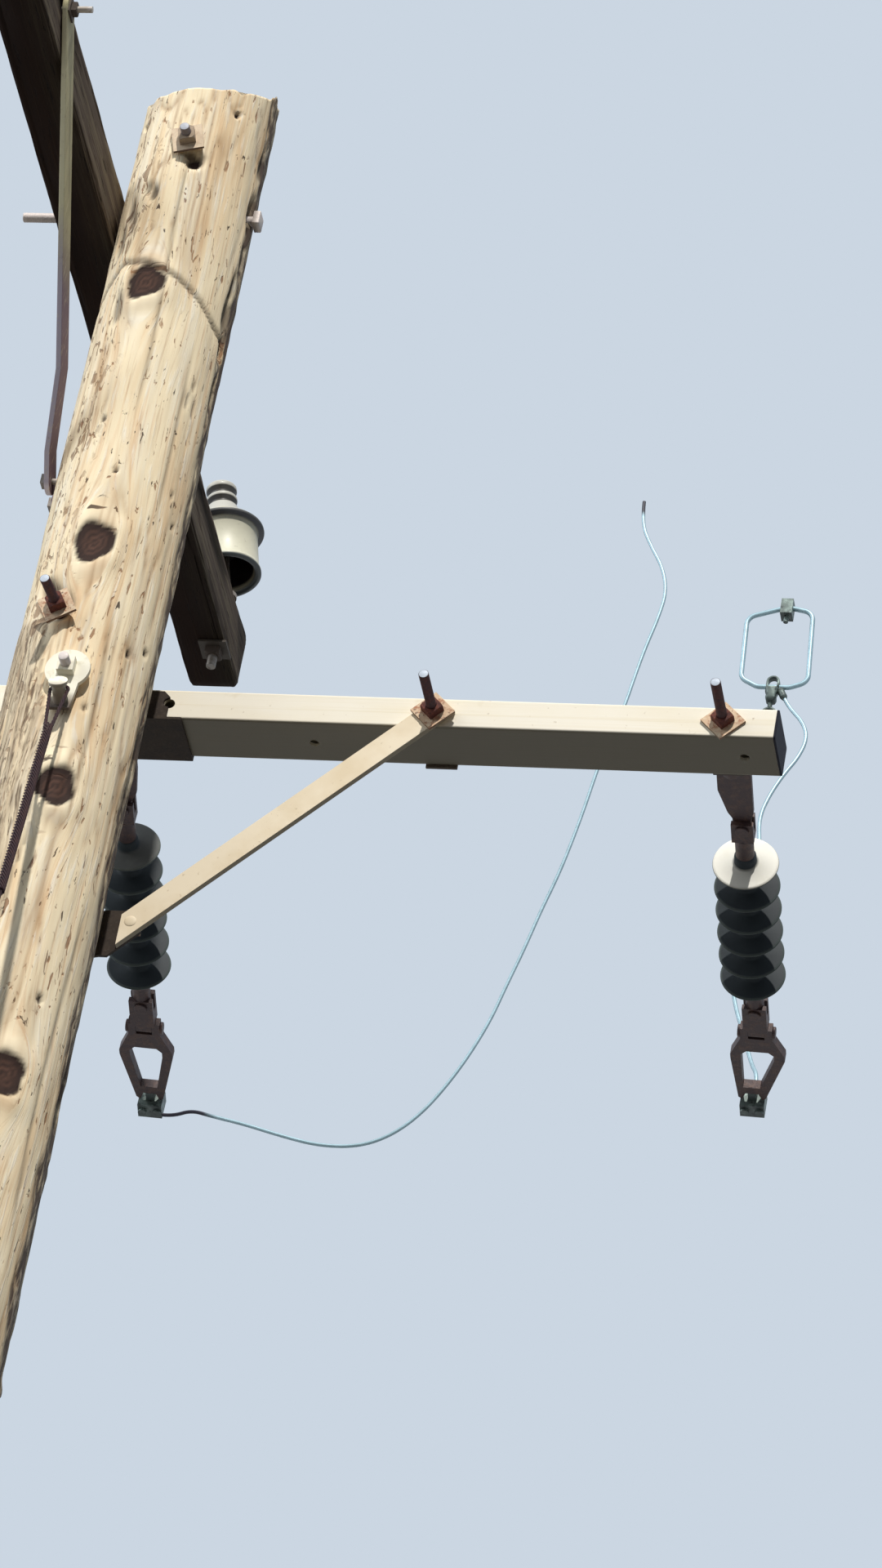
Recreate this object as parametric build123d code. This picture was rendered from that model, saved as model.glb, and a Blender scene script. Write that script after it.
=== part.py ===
from build123d import *
import math
import os

# Wooden distribution pole with two crossarms at right angles, dead-end insulators,
# pin insulators, a down guy and the loose jumpers. Millimetres, +Z up. The origin is
# the centre of the pole's foot at ground level. +X runs along the lower arm, +Y is
# the side that the line pulls towards.

# Pole
pole_height = 10360.0
pole_foot_diameter = 322.0
pole_top_diameter = 249.0
roof_slope = 25.0
roof_turn = 13.0

# Gaps between pieces that touch
fit_gap = 0.3
thread_gap = 0.1

# Lower crossarm, a pultruded box section on the pole's line side
lower_arm_length = 2438.0
lower_arm_width = 114.0
lower_arm_depth = 64.0
lower_arm_wall = 6.0
lower_arm_corner = 5.0
lower_arm_drop = 1393.0
lower_arm_let_in = 6.5
under_hole_diameter = 18.0
under_hole_inner = 387.0
under_hole_outer_inset = 57.0
under_hole_back = 60.0
cap_thickness = 4.0
cap_wall = 4.0
cap_plug_depth = 22.0

# Upper crossarm, sawn timber let into the pole's left side
upper_arm_length = 2620.0
upper_arm_width = 102.0
upper_arm_depth = 127.0
upper_arm_above_lower = 964.0
upper_arm_let_in = 6.0
upper_arm_bevel = 9.0

# Bolts, square washers and nuts
bolt_diameter = 19.0
bolt_clearance = 1.0
washer_side = 57.0
washer_thickness = 5.0
nut_side = 30.0
nut_thickness = 16.0
nut_chamfer = 2.6
head_thickness = 13.0
small_bolt_diameter = 12.0
small_washer_side = 34.0
small_washer_thickness = 3.0
small_nut_side = 20.0
small_nut_thickness = 10.0

# Bolt places, how far each bolt stands out and how its square washer is turned
arm_bolt_front_offset = -31.0
arm_bolt_back_offset = 8.0
arm_bolt_front_rise = 14.0
arm_bolt_back_rise = 6.0
arm_bolt_washer_lift = 4.0
arm_bolt_washer_turn = 28.0
arm_bolt_tail = 82.0
spare_bolt_offset = 7.0
spare_bolt_above_lower = 1148.0
spare_bolt_washer_turn = 14.0
spare_bolt_tail = 16.0
upper_bolt_above_centre = 32.0
upper_bolt_tail = 94.0
brace_bolt_from_centre = 610.0
brace_bolt_drop = 8.0
brace_bolt_tail = 111.0
dead_end_from_end = 92.0
dead_end_tail = 115.0
diamond_turn = 45.0

# Arm saddle on the back of the pole, with a hole at each end that is in the arm too
saddle_half_length = 155.0
saddle_front_half_length = 127.0
saddle_front_drop = 8.0
saddle_plate = 5.0
saddle_seat_margin = 12.0
saddle_corner = 12.0
saddle_hole_diameter = 20.0

# Lower arm braces, shallow channels, and the bracket at their feet
brace_width = 45.0
brace_depth = 12.0
brace_wall = 5.0
brace_end_reach = 31.0
brace_foot_from_centre = 128.0
brace_foot_drop = 470.0
foot_bracket_height = 96.0
foot_bracket_half_length = 164.0
foot_bracket_plate = 6.0
foot_bracket_flat = 66.0
foot_bracket_bend = 98.0
foot_bracket_screw_spread = 28.0
foot_bolt_from_centre = 146.0
foot_bolt_head_diameter = 22.0
foot_bolt_head = 3.0

# Upper arm braces, flat bars bent outwards to the pole's side
flat_brace_width = 50.0
flat_brace_thickness = 10.0
flat_brace_bolt_out = 577.0
flat_brace_bolt_above = 90.0
flat_brace_foot_above_lower = 405.0
flat_brace_spread = 34.0
flat_brace_bend_start = 55.0
flat_brace_bend_length = 150.0
flat_brace_bolt_tail = 27.0
lag_length = 90.0

# Pin insulators on the upper arm
pin_diameter = 19.0
pin_collar_diameter = 44.0
pin_collar_height = 8.0
pin_shank_tail = 46.0
pin_stand = 48.0
pin_thread_diameter = 26.0
pin_thread_start = 64.0
pin_thread_end = 142.0
pin_offset = -145.0
pin_lean = 12.0
end_pin_inset = 132.0
middle_pin = 430.0
insulator_height = 228.0
insulator_head_radius = 31.0
insulator_head_chamfer = 5.6
insulator_groove_count = 2
insulator_groove_depth = 7.0
insulator_groove_pitch = 24.0
insulator_groove_height = 10.0
insulator_crown = 14.0
insulator_shoulder_radius = 39.0
insulator_shoulder_drop = 78.0
insulator_shed_radius = 82.0
insulator_shed_drop = 118.0
insulator_shed_edge = 6.0
insulator_skirt_radius = 68.0
insulator_rim_radius = 72.0
insulator_rim_height = 14.0
insulator_wall = 12.0
insulator_neck_radius = 30.0
insulator_neck_start = 60.0

# Dead-end strings: their directions and the pieces in order along them
string_skew = 4.0
string_sag = 2.9
string_shift = 14.5
string_lean = -15.0
middle_string_skew = 5.8
middle_string_sag = 7.1
palm_boss_diameter = 40.0
palm_boss_length = 24.0
palm_width = 62.0
palm_shift_share = 0.7
palm_straight = 79.0
palm_neck_half_width = 26.0
palm_neck = 139.0
palm_eye_radius = 15.0
palm_eye_place = 176.0
palm_thickness = 12.0
cross_pin_diameter = 16.0
cross_pin_head = 24.0
cross_pin_head_thickness = 5.0
fork_cheek = 10.0
fork_width = 40.0
fork_overlap = 20.0
ferrule_diameter = 34.0
rubber_start = 262.0
first_shed = 287.0
shed_radius = 60.0
shed_pitch = 65.0
shed_count = 6
shed_edge = 4.0
shed_back = 18.0
insulator_core_radius = 20.0
rubber_end = 660.0
tongue_place = 714.0
tongue_radius = 17.0
clevis_body_end = 768.0
clevis_width = 45.0
clevis_thickness = 34.0
clevis_tongue_width = 30.0
bail_pin_place = 786.0
bail_ear_width = 15.0
bail_ear_reach = 17.0
bail_shoulder = 853.0
bail_half_width = 51.0
bail_round = 6.0
bail_leg = 20.0
bail_thickness = 20.0
bail_window_start = 836.0
bail_window_corner_half_width = 21.0
bail_window_end = 948.0
bail_cross_end = 966.0
bail_end = 984.0
bail_tip_half_width = 26.0
bail_tip_width = 14.0
clamp_stem_width = 16.0
clamp_start = 988.0
clamp_width = 46.0
clamp_height = 44.0
clamp_length = 34.0
conductor_diameter = 9.0
clamp_bolt_diameter = 8.0
clamp_bolt_spread = 14.0

# Down guy
guy_bolt_offset = 14.0
guy_bolt_drop = 93.0
guy_bolt_tail = 20.0
guy_plate_diameter = 81.0
guy_plate_thickness = 8.0
guy_lug_top_width = 58.0
guy_lug_width = 38.0
guy_lug_length = 86.0
guy_peg_drop = 70.0
guy_peg_radius = 12.0
guy_peg_length = 32.0
guy_lip_radius = 17.0
guy_lip = 6.0
guy_strand_diameter = 9.5
grip_wire_diameter = 7.0
grip_diameter = 17.0
grip_length = 620.0
grip_merge = 150.0
grip_leg_spacing = 5.0
grip_solid = 22.0
guy_lead = 4400.0
guy_side_lead = 1225.0
anchor_rod_diameter = 19.0
anchor_eye_radius = 32.0
anchor_rod_out = 330.0

# Loose jumpers. Each route is x, y and the height above the lower arm's underside.
right_jumper_diameter = 8.0
right_jumper_stub = 40.0
loose_jumper_diameter = 7.0
loose_jumper_stub = 21.0
arc_share = 0.45
right_jumper_route = (
    (956, 1478, 1089), (991, 1472, 1048), (1005, 1467, 1005), (1002, 1461, 953),
    (988, 1452, 906), (968, 1440, 844), (955, 1424, 774), (958, 1406, 687),
    (960, 1388, 592), (956, 1370, 501), (954, 1352, 414), (959, 1330, 330),
    (977, 1308, 250), (1009, 1284, 164), (1037, 1262, 82),
)
loose_jumper_route = (
    (-14, 1238, -93), (26, 1238, -104), (94, 1238, -119), (169, 1239, -141),
    (246, 1241, -158), (322, 1243, -154), (380, 1245, -123), (427, 1246, -72),
    (465, 1247, -6), (498, 1248, 68), (527, 1247, 149), (546, 1246, 231),
    (568, 1244, 315), (587, 1242, 402), (610, 1240, 490), (626, 1238, 573),
    (639, 1236, 652), (650, 1234, 732), (664, 1233, 818), (683, 1232, 890),
    (693, 1232, 965), (704, 1233, 1039), (719, 1234, 1113), (727, 1236, 1181),
    (711, 1238, 1244), (678, 1240, 1301), (652, 1241, 1358), (649, 1242, 1414),
)

# Stirrup that the right jumper reaches, with its two clamps
stirrup_diameter = 10.0
stirrup_y = 1480.0
stirrup_corner = 24.0
stirrup_outline = (
    (885, 1140), (950, 1140), (986, 1155), (975, 1330), (922, 1342), (843, 1314), (850, 1160),
)
stirrup_bar_height = 1140.0
tap_clamp_centre = 917.0
tap_clamp_width = 34.0
tap_clamp_depth = 34.0
tap_clamp_below = 38.0
tap_hook_width = 26.0
tap_hook_above = 24.0
tap_terminal_diameter = 16.0
tap_terminal_end = (943, 1479, 1114)
tap_terminal_length = 22.0
tap_eye_radius = 13.0
tap_eye_wire_diameter = 6.6
tap_eye_drop = 66.0
tap_stem_diameter = 10.0
connector_width = 24.0
connector_height = 36.0
connector_depth = 30.0
connector_sink = 6.0
connector_stem = 14.0


def pole_radius(z):
    """Pole radius at a height, on its straight taper."""
    share = z / pole_height
    return (pole_foot_diameter * (1 - share) + pole_top_diameter * share) / 2


lower_arm_z = pole_height - lower_arm_drop
lower_arm_mid = lower_arm_z + lower_arm_depth / 2
lower_arm_y = pole_radius(lower_arm_mid) - lower_arm_let_in
lower_arm_back = lower_arm_y + lower_arm_width
dead_end_from_centre = lower_arm_length / 2 - dead_end_from_end
far_pin = upper_arm_length / 2 - end_pin_inset
near_pin = -far_pin
upper_arm_z = lower_arm_z + upper_arm_above_lower
upper_arm_mid = upper_arm_z + upper_arm_depth / 2
upper_arm_right = -(pole_radius(upper_arm_mid) - upper_arm_let_in)
upper_arm_left = upper_arm_right - upper_arm_width
upper_arm_top = upper_arm_z + upper_arm_depth
saddle_front = lower_arm_y - saddle_plate
saddle_back = lower_arm_back + fit_gap + saddle_plate
upper_bolt_z = upper_arm_mid + upper_bolt_above_centre
spare_bolt_z = lower_arm_z + spare_bolt_above_lower
guy_bolt_z = lower_arm_z - guy_bolt_drop
brace_bolt_z = lower_arm_mid - brace_bolt_drop
foot_bracket_z = lower_arm_z - brace_foot_drop
foot_bracket_back = pole_radius(foot_bracket_z - foot_bracket_height / 2) + fit_gap
flat_foot_z = lower_arm_z + flat_brace_foot_above_lower
flat_foot_x = -(pole_radius(flat_foot_z - flat_brace_width) + fit_gap)
flat_bolt_z = upper_arm_z + flat_brace_bolt_above
arm_bolt_front = Vector(arm_bolt_front_offset, -pole_radius(lower_arm_mid),
                        lower_arm_mid + arm_bolt_front_rise)
arm_bolt_back = Vector(arm_bolt_back_offset, saddle_back, lower_arm_mid + arm_bolt_back_rise)
arm_bolt_axis = (arm_bolt_back - arm_bolt_front).normalized()
arm_bolt_seat = arm_bolt_back + arm_bolt_axis * arm_bolt_washer_lift
conductor_place = clamp_start + clamp_length / 2
loose_jumper_place = clamp_start + clamp_length - loose_jumper_diameter
hole_diameter = bolt_diameter + bolt_clearance
small_hole_diameter = small_bolt_diameter + bolt_clearance
pin_hole_diameter = cross_pin_diameter + 2 * fit_gap
fork_gap = palm_thickness + 2 * fit_gap
beyond = pole_foot_diameter

# Lists that the fastener makers fill: each piece is one solid of its node
washers = []
nuts = []


def rod(start, end, diameter):
    """A round bar from one point to another."""
    start = Vector(*start)
    end = Vector(*end)
    axis = end - start
    plane = Plane(origin=start, z_dir=axis.normalized())
    return plane * Cylinder(diameter / 2, axis.length, align=(Align.CENTER, Align.CENTER, Align.MIN))


def block(low, high):
    """A box between two corners."""
    size = [high[i] - low[i] for i in range(3)]
    middle = [(high[i] + low[i]) / 2 for i in range(3)]
    return Pos(*middle) * Box(*size)


def square_ring(seat, direction, side, thickness, hole, turn):
    """A square plate with a round hole, its inner face at seat, growing along direction."""
    plane = Plane(origin=seat, z_dir=direction)
    return plane * extrude(Rot(0, 0, turn) * (Rectangle(side, side) - Circle(hole / 2)), thickness)


def add_nut(seat, direction, turn=0.0, washer_turn=0.0, small=False):
    """Square washer on a seat and a chamfered square nut on it; gives the nut's outer face."""
    direction = Vector(*direction).normalized()
    seat = Vector(*seat)
    side = small_nut_side if small else nut_side
    thickness = small_nut_thickness if small else nut_thickness
    diameter = small_bolt_diameter if small else bolt_diameter
    plate_side = small_washer_side if small else washer_side
    plate = small_washer_thickness if small else washer_thickness
    washers.append(square_ring(seat, direction, plate_side, plate, diameter + bolt_clearance, washer_turn))
    nut_seat = seat + direction * plate
    nut = square_ring(nut_seat, direction, side, thickness, diameter + 2 * thread_gap, turn)
    chamfer_cone = Cone(side + nut_chamfer, side / 2 + nut_chamfer, thickness,
                        align=(Align.CENTER, Align.CENTER, Align.MIN))
    nuts.append(nut & (Plane(origin=nut_seat, z_dir=direction) * chamfer_cone))
    return nut_seat + direction * thickness


def headed_bolt(seat, direction, end, small=False):
    """Bolt with a square head: the head's inner face is at seat and it grows along direction."""
    direction = Vector(*direction).normalized()
    seat = Vector(*seat)
    side = small_nut_side if small else nut_side
    thickness = small_nut_thickness if small else head_thickness
    diameter = small_bolt_diameter if small else bolt_diameter
    head = Plane(origin=seat, z_dir=direction) * extrude(Rectangle(side, side), thickness)
    return head + rod(tuple(seat), tuple(end), diameter)


def save(name, *solids):
    """Write one node."""
    shape = solids[0] if len(solids) == 1 else Compound(children=list(solids))
    export_step(shape, "parts/" + name + ".step")


def make_pole():
    """Tapered log with a sloped top, flat seats for the arms and bolt holes."""
    log = Cone(pole_foot_diameter / 2, pole_top_diameter / 2, pole_height,
               align=(Align.CENTER, Align.CENTER, Align.MIN))
    roof_middle = pole_height - math.tan(math.radians(roof_slope)) * pole_top_diameter / 2
    roof = Pos(0, 0, roof_middle) * Rot(0, 0, -roof_turn) * Rot(roof_slope, 0, 0)
    log -= roof * Box(4 * beyond, 4 * beyond, beyond, align=(Align.CENTER, Align.CENTER, Align.MIN))
    log -= block((-beyond, saddle_front, lower_arm_z - saddle_seat_margin),
                 (beyond, beyond, lower_arm_z + lower_arm_depth + saddle_seat_margin))
    log -= block((-beyond, -beyond, upper_arm_z), (upper_arm_right, beyond, upper_arm_top))
    for x, z in ((spare_bolt_offset, spare_bolt_z), (guy_bolt_offset, guy_bolt_z)):
        log -= rod((x, -beyond, z), (x, beyond, z), hole_diameter)
    log -= rod(tuple(arm_bolt_front - arm_bolt_axis * beyond),
               tuple(arm_bolt_back + arm_bolt_axis * beyond), hole_diameter)
    log -= rod((-beyond, 0, upper_bolt_z), (beyond, 0, upper_bolt_z), hole_diameter)
    for lag in lag_places():
        log -= rod(lag[0], lag[1], small_bolt_diameter + 2 * thread_gap)
    return log


def lag_places():
    """Seat and tip of each lag screw: two at the upper braces' feet, two in the foot bracket."""
    seat = flat_foot_x - flat_brace_thickness
    screws = [((seat, side * flat_brace_spread, flat_foot_z),
               (seat + lag_length, side * flat_brace_spread, flat_foot_z)) for side in (-1, 1)]
    back = foot_bracket_back + foot_bracket_plate
    for side in (-1, 1):
        z = foot_bracket_z + side * foot_bracket_screw_spread
        screws.append(((0, back, z), (0, back - lag_length, z)))
    return screws


def make_lag_screws():
    """Square-headed lag screws through the flat braces' feet and the foot bracket."""
    screws = []
    for seat, tip in lag_places():
        outward = Vector(*seat) - Vector(*tip)
        screws.append(headed_bolt(seat, tuple(outward), tip, small=True))
    return screws


def make_upper_arm():
    """Sawn arm with bevelled top edges, drilled for its bolt, braces and pins."""
    outline = make_face(Polyline(
        (upper_arm_left, upper_arm_z), (upper_arm_right, upper_arm_z),
        (upper_arm_right, upper_arm_top - upper_arm_bevel),
        (upper_arm_right - upper_arm_bevel, upper_arm_top),
        (upper_arm_left + upper_arm_bevel, upper_arm_top),
        (upper_arm_left, upper_arm_top - upper_arm_bevel), close=True))
    arm = extrude(Plane.XZ * outline, upper_arm_length / 2, both=True)
    left = upper_arm_left - beyond
    right = upper_arm_right + beyond
    arm -= rod((left, 0, upper_bolt_z), (right, 0, upper_bolt_z), hole_diameter)
    for side in (-1, 1):
        y = side * flat_brace_bolt_out
        arm -= rod((left, y, flat_bolt_z), (right, y, flat_bolt_z), small_hole_diameter)
    for y in (near_pin, middle_pin, far_pin):
        arm -= rod((pin_offset, y, upper_arm_z - beyond), (pin_offset, y, upper_arm_top + beyond),
                   pin_diameter + bolt_clearance)
    return arm


def make_flat_brace(side):
    """Flat bar from the arm's pole side, bent outwards to lie on the side of the pole."""
    top_y = side * flat_brace_bolt_out
    foot_y = side * flat_brace_spread
    run = math.hypot(top_y - foot_y, flat_bolt_z - flat_foot_z)
    end = flat_brace_width / 2
    thick = flat_brace_thickness
    foot_left = flat_foot_x - thick
    bend_end = flat_brace_bend_start + flat_brace_bend_length
    edge = make_face(Polyline(
        (foot_left, -end), (foot_left + thick, -end), (foot_left + thick, flat_brace_bend_start),
        (upper_arm_right + thick, bend_end), (upper_arm_right + thick, run + end),
        (upper_arm_right, run + end), (upper_arm_right, bend_end), (foot_left, flat_brace_bend_start),
        close=True))
    up = Vector(0, top_y - foot_y, flat_bolt_z - flat_foot_z).normalized()
    across = Vector(1, 0, 0).cross(up)
    foot = Vector(0, foot_y, flat_foot_z)
    bar = Plane(origin=foot, x_dir=(1, 0, 0), z_dir=tuple(across)) * extrude(edge, end, both=True)
    face = Pos(run / 2, 0) * SlotCenterToCenter(run, flat_brace_width)
    for place in (0, run):
        face -= Pos(place, 0) * Circle(small_hole_diameter / 2)
    outline = Plane(origin=foot, x_dir=tuple(up), z_dir=(1, 0, 0)) * extrude(face, beyond, both=True)
    return bar & outline


def make_brace_bolts():
    """Bolts at the upper braces' tops and round-headed bolts at the lower braces' feet."""
    bolts = []
    face = upper_arm_right + flat_brace_thickness
    for side in (-1, 1):
        y = side * flat_brace_bolt_out
        add_nut((face, y, flat_bolt_z), (1, 0, 0), small=True)
        tip = (face + small_washer_thickness + small_nut_thickness + flat_brace_bolt_tail, y, flat_bolt_z)
        bolts.append(headed_bolt((upper_arm_left, y, flat_bolt_z), (-1, 0, 0), tip, small=True))
        x = side * foot_bolt_from_centre
        web = lower_arm_y - brace_wall
        back = lower_arm_y + foot_bracket_plate
        z = foot_bracket_z + foot_bolt_rise()
        head = rod((x, web - foot_bolt_head, z), (x, web, z), foot_bolt_head_diameter)
        tip = back + small_washer_thickness + small_nut_thickness + foot_bolt_head
        shank = rod((x, web, z), (x, tip, z), small_bolt_diameter)
        add_nut((x, back, z), (0, 1, 0), small=True)
        bolts.append(head + shank)
    return bolts


def foot_bolt_rise():
    """How far above the brace's foot centre its bolt lies, on the brace's centre line."""
    slope = (brace_bolt_z - foot_bracket_z) / (brace_bolt_from_centre - brace_foot_from_centre)
    return slope * (foot_bolt_from_centre - brace_foot_from_centre)


def pin_frame(y, lean):
    """Place on top of the collar, tilted by the pin's lean."""
    return Pos(pin_offset, y, upper_arm_top + pin_collar_height) * Rot(0, -lean, 0)


def make_pin(y, lean):
    """Steel crossarm pin with a collar on the arm and a thread inside the insulator."""
    tail = upper_arm_z - pin_shank_tail
    shank = rod((pin_offset, y, tail), (pin_offset, y, upper_arm_top), pin_diameter)
    collar = rod((pin_offset, y, upper_arm_top), (pin_offset, y, upper_arm_top + pin_collar_height),
                 pin_collar_diameter)
    lift = (Align.CENTER, Align.CENTER, Align.MIN)
    stem = Cylinder(pin_diameter / 2, pin_stand + pin_thread_start, align=lift)
    thread = Pos(0, 0, pin_stand + pin_thread_start) * Cone(
        pin_thread_diameter / 2, pin_diameter / 2, pin_thread_end - pin_thread_start, align=lift)
    add_nut((pin_offset, y, upper_arm_z), (0, 0, -1))
    return shank + collar + pin_frame(y, lean) * (stem + thread + Sphere(pin_diameter / 2))


def make_pin_insulator(y, lean):
    """Porcelain pin insulator: grooved head, umbrella shed and a deep hollow skirt."""
    head = insulator_head_radius
    high = insulator_height
    outline = [(0, high), (head - insulator_head_chamfer, high), (head, high - insulator_head_chamfer)]
    for index in range(insulator_groove_count):
        top = high - insulator_crown - index * insulator_groove_pitch
        outline += [(head, top), (head - insulator_groove_depth, top - insulator_groove_depth),
                    (head - insulator_groove_depth, top - insulator_groove_height),
                    (head, top - insulator_groove_height - insulator_groove_depth)]
    shed_z = high - insulator_shed_drop
    skirt = insulator_skirt_radius
    rim = insulator_rim_radius
    wall = insulator_wall
    roof = shed_z - 2 * insulator_shed_edge
    bore = pin_thread_diameter / 2 + fit_gap
    neck = insulator_neck_radius
    outline += [(insulator_shoulder_radius, high - insulator_shoulder_drop),
                (insulator_shed_radius - wall, shed_z + wall), (insulator_shed_radius, shed_z),
                (insulator_shed_radius, shed_z - insulator_shed_edge), (skirt, shed_z),
                (skirt, insulator_rim_height), (rim, insulator_rim_height / 2), (rim, 0),
                (rim - wall, 0), (skirt - wall, insulator_rim_height), (skirt - wall, roof),
                (neck, roof + wall / 2), (neck, insulator_neck_start), (bore, insulator_neck_start),
                (bore, pin_thread_start), (pin_diameter / 2 + fit_gap, pin_thread_end + fit_gap),
                (0, pin_thread_end + fit_gap)]
    solid = revolve(Plane.XZ * make_face(Polyline(*outline, close=True)), Axis.Z)
    return pin_frame(y, lean) * Pos(0, 0, pin_stand) * solid


def make_lower_arm():
    """Hollow box section with rounded edges and its bolt holes."""
    outline = RectangleRounded(lower_arm_width, lower_arm_depth, lower_arm_corner)
    bore = RectangleRounded(lower_arm_width - 2 * lower_arm_wall, lower_arm_depth - 2 * lower_arm_wall,
                            lower_arm_corner / 2)
    plane = Plane(origin=(0, lower_arm_y + lower_arm_width / 2, lower_arm_mid), x_dir=(0, 1, 0),
                  z_dir=(1, 0, 0))
    arm = plane * extrude(outline - bore, lower_arm_length / 2, both=True)
    under_hole_y = lower_arm_y + under_hole_back
    for side in (-1, 1):
        for x, z in ((side * brace_bolt_from_centre, brace_bolt_z),
                     (side * dead_end_from_centre, lower_arm_mid)):
            arm -= rod((x, -beyond, z), (x, 2 * beyond, z), hole_diameter)
        for x in (side * under_hole_inner, side * (lower_arm_length / 2 - under_hole_outer_inset)):
            arm -= rod((x, under_hole_y, 0), (x, under_hole_y, pole_height), under_hole_diameter)
        arm -= saddle_hole(side)
    return arm - rod(tuple(arm_bolt_front), tuple(arm_bolt_back + arm_bolt_axis * beyond), hole_diameter)


def saddle_hole(side):
    """Cutter for the hole at the saddle's end, through its front plate and the arm's front wall."""
    x = side * saddle_front_half_length
    inside = lower_arm_y + lower_arm_width / 2
    return rod((x, 0, lower_arm_mid), (x, inside, lower_arm_mid), saddle_hole_diameter)


def make_arm_cap(side):
    """Push-in end cap of the lower arm."""
    face = RectangleRounded(lower_arm_width, lower_arm_depth, lower_arm_corner)
    plug = RectangleRounded(lower_arm_width - 2 * lower_arm_wall - 2 * fit_gap,
                            lower_arm_depth - 2 * lower_arm_wall - 2 * fit_gap, lower_arm_corner / 2)
    hollow = Rectangle(lower_arm_width - 2 * (lower_arm_wall + cap_wall),
                       lower_arm_depth - 2 * (lower_arm_wall + cap_wall))
    plane = Plane(origin=(side * lower_arm_length / 2, lower_arm_y + lower_arm_width / 2, lower_arm_mid),
                  x_dir=(0, side, 0), z_dir=(side, 0, 0))
    return plane * (extrude(face, cap_thickness) + extrude(plug - hollow, -cap_plug_depth))


def make_saddle():
    """Steel trough that holds the arm against the flat seat on the pole."""
    bottom = lower_arm_z - fit_gap - saddle_plate
    top = lower_arm_z + lower_arm_depth
    under = block((-saddle_half_length, saddle_front, bottom),
                  (saddle_half_length, saddle_back, bottom + saddle_plate))
    half = saddle_front_half_length
    front_top = top - saddle_front_drop
    face = make_face(Polyline(
        (-half, bottom), (half, bottom), (half, front_top - saddle_corner), (half - saddle_corner, front_top),
        (saddle_corner - half, front_top), (-half, front_top - saddle_corner), close=True))
    front = Pos(0, lower_arm_y, 0) * extrude(Plane.XZ * face, saddle_plate)
    back = block((-saddle_half_length, saddle_back - saddle_plate, bottom),
                 (saddle_half_length, saddle_back, top))
    for side in (-1, 1):
        front -= saddle_hole(side)
    bolt_hole = rod(tuple(arm_bolt_front), tuple(arm_bolt_back + arm_bolt_axis * beyond), hole_diameter)
    return under + front + back - bolt_hole


def brace_line(side):
    """Foot and top of a lower brace's centre line."""
    foot = Vector(side * brace_foot_from_centre, lower_arm_y, foot_bracket_z)
    top = Vector(side * brace_bolt_from_centre, lower_arm_y, brace_bolt_z)
    return foot, top


def make_lower_brace(side):
    """Channel brace from the arm bolt to the bracket on the pole's back, foot cut upright."""
    foot, top = brace_line(side)
    along = (top - foot).normalized()
    length = (top - foot).length
    profile = Rectangle(brace_width, brace_depth, align=(Align.CENTER, Align.MIN))
    profile -= Pos(0, brace_wall) * Rectangle(brace_width - 2 * brace_wall, brace_depth,
                                              align=(Align.CENTER, Align.MIN))
    section = Plane(origin=foot - along * brace_width, x_dir=tuple(along.cross(Vector(0, 1, 0))),
                    z_dir=tuple(along))
    bar = section * extrude(profile, brace_width + length + brace_end_reach)
    inner = sorted((foot.X, foot.X - side * beyond))
    bar -= block((inner[0], -beyond, foot.Z - beyond), (inner[1], beyond, foot.Z + beyond))
    bar -= rod((top.X, -beyond, top.Z), (top.X, beyond, top.Z), hole_diameter)
    bolt_x = side * foot_bolt_from_centre
    bolt_z = foot_bracket_z + foot_bolt_rise()
    return bar - rod((bolt_x, -beyond, bolt_z), (bolt_x, beyond, bolt_z), small_hole_diameter)


def make_foot_bracket():
    """Bent plate across the pole's back that carries both brace feet, trimmed along their edges."""
    back = foot_bracket_back
    plate = foot_bracket_plate
    front = lower_arm_y
    near = [(-foot_bracket_half_length, front), (-foot_bracket_bend, front), (-foot_bracket_flat, back),
            (foot_bracket_flat, back), (foot_bracket_bend, front), (foot_bracket_half_length, front)]
    outline = near + [(x, y + plate) for x, y in reversed(near)]
    body = Pos(0, 0, foot_bracket_z - foot_bracket_height / 2) * extrude(
        make_face(Polyline(*outline, close=True)), foot_bracket_height)
    for seat, tip in lag_places()[2:]:
        body -= rod(seat, tip, small_hole_diameter)
    for side in (-1, 1):
        x = side * foot_bolt_from_centre
        z = foot_bracket_z + foot_bolt_rise()
        body -= rod((x, 0, z), (x, beyond, z), small_hole_diameter)
        foot, top = brace_line(side)
        along = (top - foot).normalized()
        below = along.cross(Vector(0, -side, 0))
        body -= Plane(origin=foot + below * brace_width / 2, x_dir=along, z_dir=below) * Box(
            2 * beyond, 2 * beyond, beyond, align=(Align.CENTER, Align.CENTER, Align.MIN))
    return body


def make_arm_bolts():
    """Long bolts through the lower arm for the braces and the dead ends."""
    bolts = []
    for side in (-1, 1):
        x = side * brace_bolt_from_centre
        seat = lower_arm_y - brace_depth
        add_nut((x, seat, brace_bolt_z), (0, -1, 0), diamond_turn, diamond_turn)
        washers.append(square_ring(Vector(x, lower_arm_back, brace_bolt_z), Vector(0, 1, 0), washer_side,
                                   washer_thickness, hole_diameter, 0))
        bolts.append(headed_bolt((x, lower_arm_back + washer_thickness, brace_bolt_z), (0, 1, 0),
                                 (x, seat - brace_bolt_tail, brace_bolt_z)))
        x = side * dead_end_from_centre
        add_nut((x, lower_arm_y, lower_arm_mid), (0, -1, 0), diamond_turn, diamond_turn)
        washers.append(square_ring(Vector(x, lower_arm_back, lower_arm_mid), Vector(0, 1, 0), washer_side,
                                   washer_thickness, hole_diameter, 0))
        bolts.append(rod((x, lower_arm_y - dead_end_tail, lower_arm_mid),
                         (x, lower_arm_back + washer_thickness + palm_boss_length / 2, lower_arm_mid),
                         bolt_diameter))
    return bolts


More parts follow.
